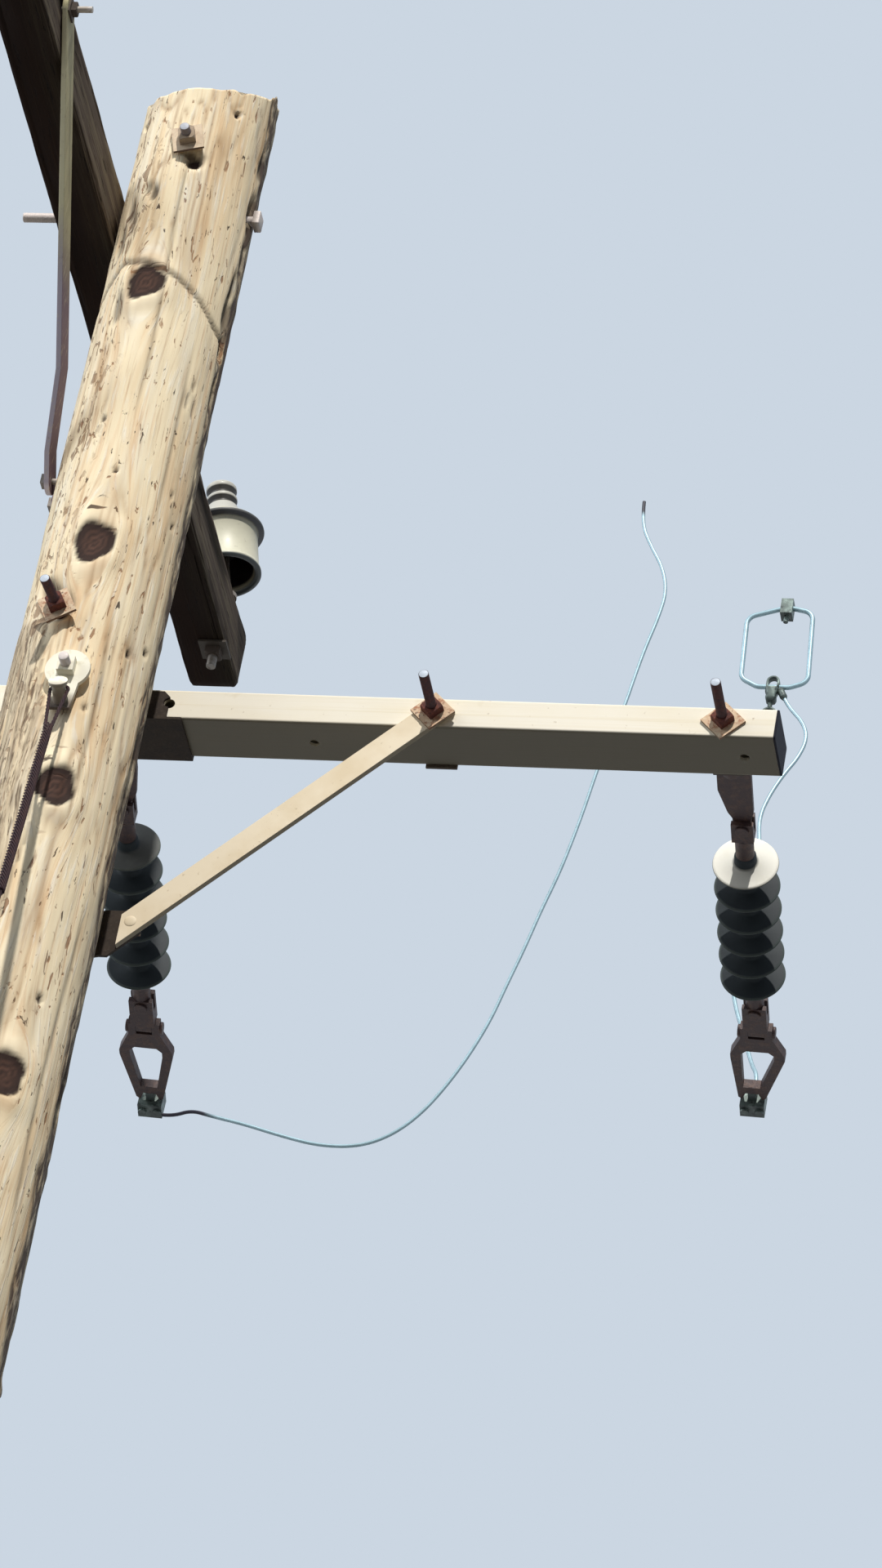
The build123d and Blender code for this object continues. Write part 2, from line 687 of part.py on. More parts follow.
def make_pole_bolts():
    """Through bolts of the pole: lower arm, upper arm, guy and a spare one at the top."""
    add_nut(tuple(arm_bolt_front - arm_bolt_axis * arm_bolt_washer_lift), tuple(-arm_bolt_axis),
            arm_bolt_washer_turn, arm_bolt_washer_turn)
    washers.append(square_ring(arm_bolt_seat, arm_bolt_axis, washer_side, washer_thickness, hole_diameter, 0))
    arm_bolt_end = arm_bolt_seat + arm_bolt_axis * (washer_thickness + palm_boss_length / 2)
    bolts = [rod(tuple(arm_bolt_front - arm_bolt_axis * arm_bolt_tail), tuple(arm_bolt_end), bolt_diameter)]
    spare_front = -(pole_radius(spare_bolt_z - washer_side) + fit_gap)
    spare_nut_face = add_nut((spare_bolt_offset, spare_front, spare_bolt_z), (0, -1, 0),
                             spare_bolt_washer_turn, spare_bolt_washer_turn)
    for x, z, tip in ((spare_bolt_offset, spare_bolt_z, spare_nut_face.Y - spare_bolt_tail),
                      (guy_bolt_offset, guy_bolt_z, guy_face_y - nut_thickness - guy_bolt_tail)):
        back = pole_radius(z - washer_side) + fit_gap
        washers.append(square_ring(Vector(x, back, z), Vector(0, 1, 0), washer_side, washer_thickness,
                                   hole_diameter, 0))
        bolts.append(headed_bolt((x, back + washer_thickness, z), (0, 1, 0), (x, tip, z)))
    right = pole_radius(upper_bolt_z - nut_side) + fit_gap
    add_nut((upper_arm_left, 0, upper_bolt_z), (-1, 0, 0))
    bolts.append(headed_bolt((right, 0, upper_bolt_z), (1, 0, 0),
                             (upper_arm_left - upper_bolt_tail, 0, upper_bolt_z)))
    return bolts


def make_guy_nut():
    """Square nut on the guy bolt, outside the guy plate."""
    return square_ring(Vector(guy_bolt_offset, guy_face_y, guy_bolt_z), Vector(0, -1, 0), nut_side,
                       nut_thickness, bolt_diameter + 2 * thread_gap, 0)


def string_frame(x, y, z, skew, sag):
    """Frame of a dead-end string: its z axis runs along the string away from the arm.

    A string's shift carries its line sideways from its bolt, and its lean carries the clamp
    and the tips of its loop sideways from that line.
    """
    side = math.tan(math.radians(skew))
    fall = math.tan(math.radians(sag))
    along = Vector(-side, 1, -fall).normalized()
    across = Vector(1, side, 0).normalized()
    return Plane(origin=Vector(x, y, z), x_dir=across, z_dir=along)


def flat_piece(points, thickness):
    """A plate drawn in the string's own across and along directions, centred on it."""
    return extrude(Plane.XZ * make_face(Polyline(*points, close=True)), thickness / 2, both=True)


def cross_hole(place, diameter):
    """A round cutter through the string, across the flat of its plates."""
    return Pos(0, 0, place) * Rot(90, 0, 0) * Cylinder(diameter / 2, 2 * bail_half_width)


def make_link(plane, seat, axis, shift):
    """Forged dead-end eye: a boss on the bolt's end and a palm that narrows to the eye."""
    boss = rod(tuple(seat), tuple(seat + axis * palm_boss_length), palm_boss_diameter)
    left = -palm_shift_share * shift - palm_width / 2
    right = left + palm_width
    eye = palm_eye_radius
    start = plane.to_local_coords(seat + axis * palm_boss_length / 2).Z
    neck = min(right, palm_neck_half_width)
    palm = flat_piece([(left, start), (right, start), (right, palm_straight), (neck, palm_neck),
                       (eye, palm_eye_place - eye), (eye, palm_eye_place), (-eye, palm_eye_place),
                       (-eye, palm_eye_place - eye), (-palm_neck_half_width, palm_neck), (left, palm_straight)],
                      palm_thickness)
    palm += Pos(0, 0, palm_eye_place) * Rot(90, 0, 0) * Cylinder(eye, palm_thickness)
    palm -= cross_hole(palm_eye_place, pin_hole_diameter)
    bore_end = seat + axis * (palm_boss_length / 2 + fit_gap)
    return plane * palm + boss - rod(tuple(seat - axis), tuple(bore_end), bolt_diameter + 2 * thread_gap)


def make_end_fittings(plane):
    """Insulator's two end fittings: a fork at the eye and a tongue at the clevis."""
    lift = (Align.CENTER, Align.CENTER, Align.MIN)
    fork_start = palm_eye_place - palm_eye_radius
    fork_end = palm_eye_place + palm_eye_radius + fork_overlap
    high = fork_gap + 2 * fork_cheek
    fork = Pos(0, 0, fork_start) * Box(fork_width, high, fork_end - fork_start, align=lift)
    fork -= Box(2 * fork_width, fork_gap, palm_eye_place + palm_eye_radius + 2 * fit_gap, align=lift)
    fork -= cross_hole(palm_eye_place, pin_hole_diameter)
    fork += Pos(0, 0, fork_end) * Cylinder(ferrule_diameter / 2, rubber_start - fork_end, align=lift)
    tongue_root = tongue_place - tongue_radius
    tongue = Pos(0, 0, rubber_end) * Cylinder(ferrule_diameter / 2, tongue_root - rubber_end, align=lift)
    tongue += Pos(0, 0, tongue_root) * Box(2 * tongue_radius, palm_thickness, tongue_radius, align=lift)
    tongue += Pos(0, 0, tongue_place) * Rot(90, 0, 0) * Cylinder(tongue_radius, palm_thickness)
    tongue -= cross_hole(tongue_place, pin_hole_diameter)
    return plane * fork, plane * tongue


def make_strain_insulator(plane):
    """Polymer dead-end insulator: a row of sheds on a round core."""
    core = insulator_core_radius
    outline = [(0, rubber_start), (core - shed_edge, rubber_start)]
    for index in range(shed_count):
        z = first_shed + index * shed_pitch
        outline += [(core, z - shed_edge), (shed_radius, z), (shed_radius, z + shed_edge),
                    (core + shed_edge, z + shed_back)]
    outline += [(core, rubber_end - core), (core - shed_edge, rubber_end), (0, rubber_end)]
    return plane * revolve(Plane.XZ * make_face(Polyline(*outline, close=True)), Axis.Z)


def make_clevis(plane):
    """Clevis between the insulator's tongue and the clamp's loop."""
    lift = (Align.CENTER, Align.CENTER, Align.MIN)
    start = tongue_place - tongue_radius + fit_gap
    body = Pos(0, 0, start) * Box(clevis_width, clevis_thickness, clevis_body_end - start, align=lift)
    body -= Box(2 * clevis_width, fork_gap, tongue_place + tongue_radius + 2 * fit_gap, align=lift)
    body -= cross_hole(tongue_place, pin_hole_diameter)
    body += Pos(0, 0, clevis_body_end) * Box(clevis_tongue_width, bail_thickness,
                                             bail_pin_place - clevis_body_end, align=lift)
    body += Pos(0, 0, bail_pin_place) * Rot(0, 90, 0) * Cylinder(bail_thickness / 2, clevis_tongue_width)
    pin_hole = Pos(0, 0, bail_pin_place) * Rot(0, 90, 0) * Cylinder(pin_hole_diameter / 2, 2 * bail_half_width)
    return plane * (body - pin_hole)


def leg_outline(side, lean):
    """Half of the loop's outline on one side of the string, from the ear down to the free tip."""
    inner_ear = clevis_tongue_width / 2 + fit_gap
    outer_ear = inner_ear + bail_ear_width
    ear_start = bail_pin_place - bail_ear_reach
    crotch = bail_pin_place + bail_thickness / 2 + 2 * fit_gap
    half = bail_half_width
    outer = side * bail_tip_half_width + lean
    inner = outer - side * bail_tip_width
    return [(side * inner_ear, crotch), (side * inner_ear, ear_start), (side * outer_ear, ear_start),
            (side * outer_ear, bail_pin_place + cross_pin_head / 2 + fit_gap),
            (side * (half - bail_round), bail_shoulder - bail_leg),
            (side * half, bail_shoulder - bail_round), (side * half, bail_shoulder + bail_round),
            (outer, bail_end - bail_round), ((outer + inner) / 2, bail_end), (inner, bail_cross_end)]


def window_outline(side, lean):
    """Half of the outline of the loop's window on one side of the string."""
    inside = bail_half_width - bail_leg
    low = side * (bail_tip_half_width - bail_leg / 2) + lean
    return [(side * bail_window_corner_half_width, bail_window_start),
            (side * inside, bail_window_start + bail_leg / 2),
            (side * inside, bail_shoulder + bail_round), (low, bail_window_end)]


def make_bail(plane, lean):
    """Open loop of the strain clamp: two ears, round shoulders, a cross piece and two free tips."""
    face = leg_outline(1, lean) + leg_outline(-1, lean)[::-1]
    window = window_outline(1, lean) + window_outline(-1, lean)[::-1]
    loop = flat_piece(face, bail_thickness) - flat_piece(window, 2 * bail_thickness)
    pin_hole = Pos(0, 0, bail_pin_place) * Rot(0, 90, 0) * Cylinder(pin_hole_diameter / 2, 4 * bail_half_width)
    return plane * (loop - pin_hole)


def make_clamp(plane, lean):
    """Clamp body on a stem from the loop's cross piece, with the conductor's bore and bolt holes."""
    lift = (Align.CENTER, Align.CENTER, Align.MIN)
    stem_start = bail_cross_end + fit_gap
    body = Pos(0, 0, clamp_start) * Box(clamp_width, clamp_height, clamp_length, align=lift)
    stem = Box(clamp_stem_width, bail_thickness, clamp_start - stem_start, align=lift)
    body += Pos(0, 0, stem_start) * stem
    body -= Pos(0, 0, clamp_start) * Cylinder(conductor_diameter / 2, 2 * clamp_length, align=lift)
    bolt_hole = cross_hole(conductor_place, clamp_bolt_diameter + 2 * fit_gap)
    for side in (-1, 1):
        body -= Pos(side * clamp_bolt_spread, 0, 0) * bolt_hole
    return plane * Pos(lean, 0, 0) * body


def headed_pin(length, diameter, head):
    """A pin centred on its own z axis with a round head at each end."""
    pin = Cylinder(diameter / 2, length)
    cap = (length + cross_pin_head_thickness) / 2
    return pin + Pos(0, 0, cap) * Cylinder(head / 2, cross_pin_head_thickness) + Pos(0, 0, -cap) * Cylinder(
        head / 2, cross_pin_head_thickness)


def make_cross_pins(plane):
    """The string's three cross pins."""
    flat_fork = fork_gap + 2 * fork_cheek
    ear_span = clevis_tongue_width + 2 * (bail_ear_width + fit_gap)
    pins = []
    for place, turn, length in ((palm_eye_place, Rot(90, 0, 0), flat_fork),
                                (tongue_place, Rot(90, 0, 0), clevis_thickness),
                                (bail_pin_place, Rot(0, 90, 0), ear_span)):
        pin = headed_pin(length, cross_pin_diameter, cross_pin_head)
        pins.append(plane * (Pos(0, 0, place) * turn * pin))
    return pins


def make_clamp_bolts(plane, lean):
    """The clamp body's two small bolts."""
    bolts = []
    for side in (-1, 1):
        bolt = headed_pin(clamp_height, clamp_bolt_diameter, 2 * clamp_bolt_diameter)
        place = Pos(lean + side * clamp_bolt_spread, 0, conductor_place)
        bolts.append(plane * (place * Rot(90, 0, 0) * bolt))
    return bolts


guy_face_y = -(pole_radius(guy_bolt_z - guy_lug_length) + fit_gap) - guy_plate_thickness
guy_peg = Vector(guy_bolt_offset, guy_face_y, guy_bolt_z - guy_peg_drop)
guy_along = Vector(guy_side_lead, -guy_lead, -guy_peg.Z).normalized()
guy_across = (Vector(1, 0, 0) - guy_along * guy_along.X).normalized()
guy_out = guy_along.cross(guy_across)
guy_loop_centre = guy_peg + guy_out * (guy_peg_length / 2 + grip_wire_diameter / 2)
guy_ground = guy_loop_centre + guy_along * (guy_loop_centre.Z / -guy_along.Z)
anchor_eye_centre = guy_ground - guy_along * anchor_rod_out
anchor_loop_centre = anchor_eye_centre - guy_along * anchor_eye_radius


def make_guy_plate():
    """Round plate under the guy bolt's nut with a tapered lug and a lipped peg for the guy's loop."""
    plane = Plane(origin=(guy_bolt_offset, guy_face_y + guy_plate_thickness, guy_bolt_z), x_dir=(1, 0, 0),
                  z_dir=(0, -1, 0))
    top = guy_lug_top_width / 2
    low = guy_lug_width / 2
    lug = make_face(Polyline((-top, 0), (top, 0), (low, -guy_lug_length), (-low, -guy_lug_length), close=True))
    plate = plane * (extrude(Circle(guy_plate_diameter / 2), guy_plate_thickness)
                     + extrude(lug, guy_plate_thickness) - Cylinder(hole_diameter / 2, beyond))
    root = guy_peg - guy_out * (guy_plate_thickness / 2)
    end = guy_peg + guy_out * guy_peg_length
    lip_end = end + guy_out * guy_lip
    peg = rod(tuple(root), tuple(end), 2 * guy_peg_radius)
    return plate + peg + rod(tuple(end), tuple(lip_end), 2 * guy_lip_radius)


def make_grip(centre, along, across, held_radius):
    """Preformed guy grip: a wire loop round what holds it, closing into a sleeve on the strand."""
    radius = held_radius + fit_gap + grip_wire_diameter / 2
    turn = math.asin((radius - grip_leg_spacing) / grip_merge)
    reach = across * (radius * math.cos(turn))
    sink = along * (radius * math.sin(turn))
    inward = across * math.sin(turn)
    onward = along * math.cos(turn)
    right = centre + reach + sink
    left = centre - reach + sink
    right_end = right + (onward - inward) * grip_merge
    left_end = left + (onward + inward) * grip_merge
    path = Wire([Line(right_end, right), ThreePointArc(right, centre - along * radius, left),
                 Line(left, left_end)])
    loop = sweep(Plane(origin=right_end, z_dir=(right - right_end).normalized())
                 * Circle(grip_wire_diameter / 2), path=path)
    sleeve_start = centre + along * (grip_merge - grip_solid / 2)
    sleeve = rod(tuple(sleeve_start), tuple(sleeve_start + along * grip_length), grip_diameter)
    bore = rod(tuple(sleeve_start + along * grip_solid), tuple(sleeve_start + along * 2 * grip_length),
               guy_strand_diameter + 2 * thread_gap)
    return loop + sleeve - bore


def make_anchor_rod():
    """Anchor rod that leaves the ground in line with the guy, with a round eye at its top."""
    ring = Plane(origin=anchor_eye_centre, x_dir=tuple(guy_across), z_dir=tuple(guy_out)) * Torus(
        anchor_eye_radius, anchor_rod_diameter / 2)
    shaft = rod(tuple(anchor_eye_centre + guy_along * anchor_eye_radius),
                tuple(guy_ground + guy_along * beyond), anchor_rod_diameter)
    ground = Pos(guy_ground.X, guy_ground.Y, 0) * Box(4 * beyond, 4 * beyond, 4 * beyond,
                                                     align=(Align.CENTER, Align.CENTER, Align.MAX))
    return ring + (shaft - ground)


def make_cord(name, points, diameter):
    """Round cord along straight runs joined by tangent arcs as large as the runs allow."""
    radii = []
    for before, corner, after in zip(points, points[1:], points[2:]):
        arriving = corner - before
        leaving = after - corner
        turn = math.radians(arriving.get_angle(leaving))
        shorter = min(arriving.length, leaving.length)
        radii.append(arc_share * shorter / math.tan(turn / 2))
    path = FilletPolyline(*points, radius=radii)
    start = Plane(origin=points[0], z_dir=(points[1] - points[0]).normalized())
    cord = sweep(start * Circle(diameter / 2), path=path)
    section = math.pi * diameter ** 2 / 4
    share = cord.volume / (section * path.length)
    print(name, "length", round(path.length, 1), "volume share", round(share, 4))
    print(name, "radii", [round(radius) for radius in radii])
    return cord


def raised(route):
    """Route points with their heights counted from the ground."""
    return [Vector(x, y, lower_arm_z + z) for x, y, z in route]


def make_right_jumper(plane):
    """Jumper from the tap clamp's terminal down to the top of the right strain clamp."""
    seat = plane.from_local_coords(Vector(string_lean, -clamp_height / 2, conductor_place))
    above = plane.from_local_coords(Vector(string_lean, -clamp_height / 2 - right_jumper_stub,
                                           conductor_place))
    route = raised([tap_terminal_end]) + raised(right_jumper_route)
    return make_cord("right jumper", route + [above, seat], right_jumper_diameter)


def make_loose_jumper(plane):
    """Jumper that leaves the middle strain clamp sideways and stands up loose to its bare tip."""
    low = (clamp_height - loose_jumper_diameter) / 2
    side = clamp_width / 2
    seat = plane.from_local_coords(Vector(side, low, loose_jumper_place))
    beside = plane.from_local_coords(Vector(side + loose_jumper_stub, low, loose_jumper_place))
    return make_cord("loose jumper", [seat, beside] + raised(loose_jumper_route), loose_jumper_diameter)


def stirrup_wire(diameter):
    """A round wire along the stirrup's closed outline with rounded corners."""
    points = [Vector(x, stirrup_y, lower_arm_z + z) for x, z in stirrup_outline]
    path = FilletPolyline(*points, radius=stirrup_corner, close=True)
    middle = (points[0] + points[1]) / 2
    edges = path.edges().sort_by_distance(middle)
    start = edges[0] @ 0
    section = Plane(origin=start, z_dir=(edges[0] % 0)) * Circle(diameter / 2)
    return sweep(section, path=path)


def make_stirrup_connector():
    """Bolted connector on the stirrup's top corner, with its bolt's head below."""
    x, z = max(stirrup_outline, key=lambda corner: corner[1])
    centre = Vector(x, stirrup_y, lower_arm_z + z - connector_sink)
    size = Vector(connector_width, connector_depth, connector_height) / 2
    body = block(tuple(centre - size), tuple(centre + size))
    stem = rod(tuple(centre - Vector(0, 0, size.Z + connector_stem)), tuple(centre), tap_stem_diameter)
    return body + stem - stirrup_wire(stirrup_diameter + 2 * fit_gap)


def make_tap_clamp():
    """Live-line clamp hooked over the stirrup's lower bar, with its jumper terminal and eye screw."""
    centre = Vector(tap_clamp_centre, stirrup_y, lower_arm_z + stirrup_bar_height)
    half = tap_clamp_width / 2
    deep = tap_clamp_depth / 2
    body = block((centre.X - half, centre.Y - deep, centre.Z - tap_clamp_below),
                 (centre.X + half, centre.Y + deep, centre.Z))
    hook = Pos(centre.X, centre.Y, centre.Z) * (
        Box(tap_hook_width, tap_clamp_depth, tap_hook_above, align=(Align.CENTER, Align.CENTER, Align.MIN))
        & (Rot(0, 90, 0) * Cylinder(tap_hook_above, tap_hook_width)))
    body += hook
    terminal, onward = raised([tap_terminal_end, right_jumper_route[0]])
    root = terminal - (onward - terminal).normalized() * tap_terminal_length
    body += rod(tuple(root), tuple(terminal), tap_terminal_diameter)
    eye = Vector(centre.X, centre.Y, centre.Z - tap_eye_drop)
    body += rod(tuple(eye + Vector(0, 0, tap_eye_radius)), tuple(centre - Vector(0, 0, tap_clamp_below)),
                tap_stem_diameter)
    body += Plane(origin=eye, z_dir=(0, 1, 0)) * Torus(tap_eye_radius, tap_eye_wire_diameter / 2)
    return body - rod((centre.X - beyond, centre.Y, centre.Z), (centre.X + beyond, centre.Y, centre.Z),
                      stirrup_diameter + 2 * fit_gap)


os.makedirs("parts", exist_ok=True)

line_side = Vector(0, 1, 0)
left_seat = Vector(-dead_end_from_centre, lower_arm_back + washer_thickness, lower_arm_mid)
right_seat = Vector(dead_end_from_centre, lower_arm_back + washer_thickness, lower_arm_mid)
middle_seat = arm_bolt_seat + arm_bolt_axis * washer_thickness
string_places = (("left", left_seat, line_side, string_skew, string_sag, string_shift, string_lean),
                 ("middle", middle_seat, arm_bolt_axis, middle_string_skew, middle_string_sag, 0.0, 0.0),
                 ("right", right_seat, line_side, string_skew, string_sag, string_shift, string_lean))
frames = {}
cross_pins = []
clamp_bolts = []
for name, seat, axis, skew, sag, shift, lean in string_places:
    frame = string_frame(seat.X + shift, lower_arm_back, seat.Z, skew, sag)
    frames[name] = frame
    save("dead_end_eye_" + name, make_link(frame, seat, axis, shift))
    save("end_fittings_" + name, *make_end_fittings(frame))
    save("strain_insulator_" + name, make_strain_insulator(frame))
    save("clevis_" + name, make_clevis(frame))
    save("clamp_bail_" + name, make_bail(frame, lean))
    save("clamp_body_" + name, make_clamp(frame, lean))
    cross_pins += make_cross_pins(frame)
    clamp_bolts += make_clamp_bolts(frame, lean)
save("cross_pins", *cross_pins)
save("clamp_bolts", *clamp_bolts)

save("pole", make_pole())
save("upper_crossarm", make_upper_arm())
save("lower_crossarm", make_lower_arm())
save("arm_saddle", make_saddle())
save("brace_foot_bracket", make_foot_bracket())
for name, side in (("left", -1), ("right", 1)):
    save("arm_cap_" + name, make_arm_cap(side))
    save("lower_brace_" + name, make_lower_brace(side))
for name, side in (("near", -1), ("far", 1)):
    save("upper_brace_" + name, make_flat_brace(side))
for name, y, lean in (("near", near_pin, 0.0), ("middle", middle_pin, 0.0), ("far", far_pin, pin_lean)):
    save("line_pin_" + name, make_pin(y, lean))
    save("pin_insulator_" + name, make_pin_insulator(y, lean))

save("guy_plate", make_guy_plate())
save("guy_nut", make_guy_nut())
save("guy_grip_top", make_grip(guy_loop_centre, guy_along, guy_across, guy_peg_radius))
save("guy_grip_bottom", make_grip(anchor_loop_centre, -guy_along, guy_out, anchor_rod_diameter / 2))
strand_inset = grip_merge + grip_solid / 2 + fit_gap
save("guy_strand", rod(tuple(guy_loop_centre + guy_along * strand_inset),
                       tuple(anchor_loop_centre - guy_along * strand_inset), guy_strand_diameter))
save("anchor_rod", make_anchor_rod())

save("right_jumper", make_right_jumper(frames["right"]))
save("loose_jumper", make_loose_jumper(frames["middle"]))
save("stirrup", stirrup_wire(stirrup_diameter))
save("stirrup_connector", make_stirrup_connector())
save("tap_clamp", make_tap_clamp())

save("pole_bolts", *make_pole_bolts())
save("arm_bolts", *make_arm_bolts())
save("brace_bolts", *make_brace_bolts())
save("lag_screws", *make_lag_screws())
save("square_washers", *washers)
save("square_nuts", *nuts)
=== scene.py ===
import math

import bmesh
import bpy
import numpy as np
from mathutils import Matrix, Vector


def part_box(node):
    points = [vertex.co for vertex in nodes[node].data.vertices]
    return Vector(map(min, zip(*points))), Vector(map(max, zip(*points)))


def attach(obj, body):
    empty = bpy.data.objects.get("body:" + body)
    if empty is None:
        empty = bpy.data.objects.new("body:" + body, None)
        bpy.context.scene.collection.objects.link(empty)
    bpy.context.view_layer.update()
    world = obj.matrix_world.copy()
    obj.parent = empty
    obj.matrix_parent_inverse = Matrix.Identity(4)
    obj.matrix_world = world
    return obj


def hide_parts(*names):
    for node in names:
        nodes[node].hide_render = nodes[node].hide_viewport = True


# Looks of a timber pole with two crossarms, insulators, a down guy and loose jumpers.
# Metres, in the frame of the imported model: +Z up the pole, +X along the lower arm, +Y the
# side that the dead-end strings point to.

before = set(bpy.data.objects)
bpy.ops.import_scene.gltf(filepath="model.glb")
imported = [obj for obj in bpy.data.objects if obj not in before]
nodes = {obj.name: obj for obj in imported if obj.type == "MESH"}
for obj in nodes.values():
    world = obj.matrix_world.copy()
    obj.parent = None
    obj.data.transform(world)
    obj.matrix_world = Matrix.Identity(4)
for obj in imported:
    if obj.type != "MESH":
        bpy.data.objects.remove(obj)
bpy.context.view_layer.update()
MM = 0.001
X, Y, Z = range(3)

# Places taken from the solids
lower_arm_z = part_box("lower_crossarm")[0][Z]
pole_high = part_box("pole")[1]
pole_height = pole_high[Z]
foot_radius = pole_high[X]
top_radius = 0.1245
saddle_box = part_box("arm_saddle")
saddle_front = saddle_box[0][Y]
saddle_low = saddle_box[0][Z] - 0.0067
saddle_high = saddle_box[1][Z] + 0.012
upper_arm_low, upper_arm_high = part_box("upper_crossarm")
roof_slope = math.radians(25)
roof_turn = math.radians(13)


# Shared makers

def placed(name, data):
    """New object of the given data, in the scene."""
    made = bpy.data.objects.new(name, data)
    bpy.context.scene.collection.objects.link(made)
    return made


def linear(colour):
    """Linear RGBA of an sRGB hex colour."""
    parts = [int(colour[i:i + 2], 16) / 255 for i in (1, 3, 5)]
    return [c / 12.92 if c <= 0.04045 else ((c + 0.055) / 1.055) ** 2.4 for c in parts] + [1.0]


def add_node(tree, kind, inputs=None, **settings):
    """Add a shader node with its settings; an input takes a value or another node's socket."""
    node = tree.nodes.new("ShaderNode" + kind)
    for key, value in settings.items():
        setattr(node, key, value)
    for key, value in (inputs or {}).items():
        if isinstance(value, bpy.types.NodeSocket):
            tree.links.new(value, node.inputs[key])
        else:
            node.inputs[key].default_value = value
    return node


def cleared_tree(owner):
    """The node tree of a material or world, turned on and empty."""
    owner.use_nodes = True
    owner.node_tree.nodes.clear()
    return owner.node_tree


def tint(colour, amount=1.0, **more):
    """Layer of one colour."""
    return dict(colour=colour, amount=amount, **more)


def marks(size, colour, low, high, amount=1.0, **more):
    """Layer of noise marks, one size or three in millimetres, that fade in from low to high."""
    sizes = size if isinstance(size, tuple) else (size,) * 3
    return tint(colour, amount, size=sizes, fade=(low, high), **more)


def finish(name, base, layers, roughness=0.6, metallic=0.0, source=None, coat=0.0, specular=0.5):
    """Material of a base colour under layers.

    A layer gives its colour, how much of it shows, its height in millimetres and what it
    adds to the roughness. With a size it shows as noise marks, with a mask only where that
    vertex attribute is high, with a reach it fades in between two places along an axis, and
    one marked below lies where the surface faces down. source names a vector attribute used
    in place of object coordinates.
    """
    material = bpy.data.materials.new(name)
    tree = cleared_tree(material)
    here = add_node(tree, "TexCoord").outputs["Object"]
    place = add_node(tree, "Attribute", attribute_name=source).outputs["Vector"] if source else here
    colour, rough, height = linear(base), roughness, None
    for index, layer in enumerate(layers):
        faded = []
        if "size" in layer:
            moved = add_node(tree, "Mapping", {
                "Vector": place, "Location": [shift * index for shift in (3.1, 1.7, 2.3)],
                "Scale": [1000 / size for size in layer["size"]]})
            noise = add_node(tree, "TexNoise", {
                "Vector": moved.outputs[0], "Scale": 1.0, "Detail": layer.get("detail", 3.0),
                "Roughness": 0.55, "Distortion": layer.get("twist", 0.0)})
            faded.append((noise.outputs[0], *layer["fade"]))
        if "reach" in layer:
            axis, start, end = layer["reach"]
            faded.append((add_node(tree, "SeparateXYZ", {"Vector": here}).outputs[axis], start, end))
        if "below" in layer:
            normal = add_node(tree, "NewGeometry").outputs["Normal"]
            faded.append((add_node(tree, "SeparateXYZ", {"Vector": normal}).outputs[Z], -0.35, -0.85))
        shares = [add_node(tree, "MapRange", {"Value": value, "From Min": low, "From Max": high}).outputs[0]
                  for value, low, high in faded]
        if "mask" in layer:
            shares.append(add_node(tree, "Attribute", attribute_name=layer["mask"]).outputs["Fac"])
        amount = layer["amount"]
        for share in shares:
            amount = add_node(tree, "Math", {0: amount, 1: share}, operation="MULTIPLY",
                              use_clamp=True).outputs[0]
        colour = add_node(tree, "Mix", {0: amount, 6: colour, 7: linear(layer["colour"])},
                          data_type="RGBA").outputs[2]
        if "gloss" in layer:
            rough = add_node(tree, "Math", {0: amount, 1: layer["gloss"], 2: rough},
                             operation="MULTIPLY_ADD", use_clamp=True).outputs[0]
        if "height" in layer:
            rise = {0: amount, 1: layer["height"] * MM}
            if height is not None:
                rise[2] = height
            height = add_node(tree, "Math", rise,
                              operation="MULTIPLY_ADD" if 2 in rise else "MULTIPLY").outputs[0]
    shader = add_node(tree, "BsdfPrincipled", {
        "Base Color": colour, "Roughness": rough, "Metallic": metallic, "Coat Weight": coat,
        "Specular IOR Level": specular})
    if height is not None:
        bump = add_node(tree, "Bump", {"Height": height, "Distance": 1.0, "Strength": 1.0})
        tree.links.new(bump.outputs[0], shader.inputs["Normal"])
    add_node(tree, "OutputMaterial", {"Surface": shader.outputs[0]})
    return material


def outward(points, faces):
    """The faces, turned over where the volume that they enclose comes out negative.

    The volume is a sum over triangles, and a quad counts as two.
    """
    total = 0.0
    for corners in (3, 4):
        rows = np.array([face for face in faces if len(face) == corners], dtype=int).reshape(-1, corners)
        for second in range(1, corners - 1):
            a, b, c = points[rows[:, [0, second, second + 1]]].transpose(1, 0, 2)
            total += np.einsum("ij,ij->", a, np.cross(b, c))
    return faces if total > 0 else [face[::-1] for face in faces]


def add_piece(name, points, faces, material, replaced=(), attributes=None):
    """Smooth mesh piece with its vertex attributes, turned outwards, riding on the pole."""
    mesh = bpy.data.meshes.new(name)
    mesh.from_pydata(points.tolist(), [], outward(points, faces))
    mesh.update()
    for key, values in (attributes or {}).items():
        kind, field = ("FLOAT", "value") if values.ndim == 1 else ("FLOAT_VECTOR", "vector")
        layer = mesh.attributes.new(key, kind, "POINT")
        layer.data.foreach_set(field, values.astype(np.float32).ravel())
    mesh.polygons.foreach_set("use_smooth", [True] * len(mesh.polygons))
    mesh.materials.append(material)
    piece = placed(name, mesh)
    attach(piece, "root")
    if replaced:
        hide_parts(*replaced)
    return piece


def joined(surfaces):
    """Several closed surfaces as one: their points stacked and their faces renumbered."""
    points, faces, first = [], [], 0
    for surface_points, surface_faces in surfaces:
        points.append(surface_points)
        faces += [[corner + first for corner in face] for face in outward(surface_points, surface_faces)]
        first += len(surface_points)
    return np.concatenate(points), faces


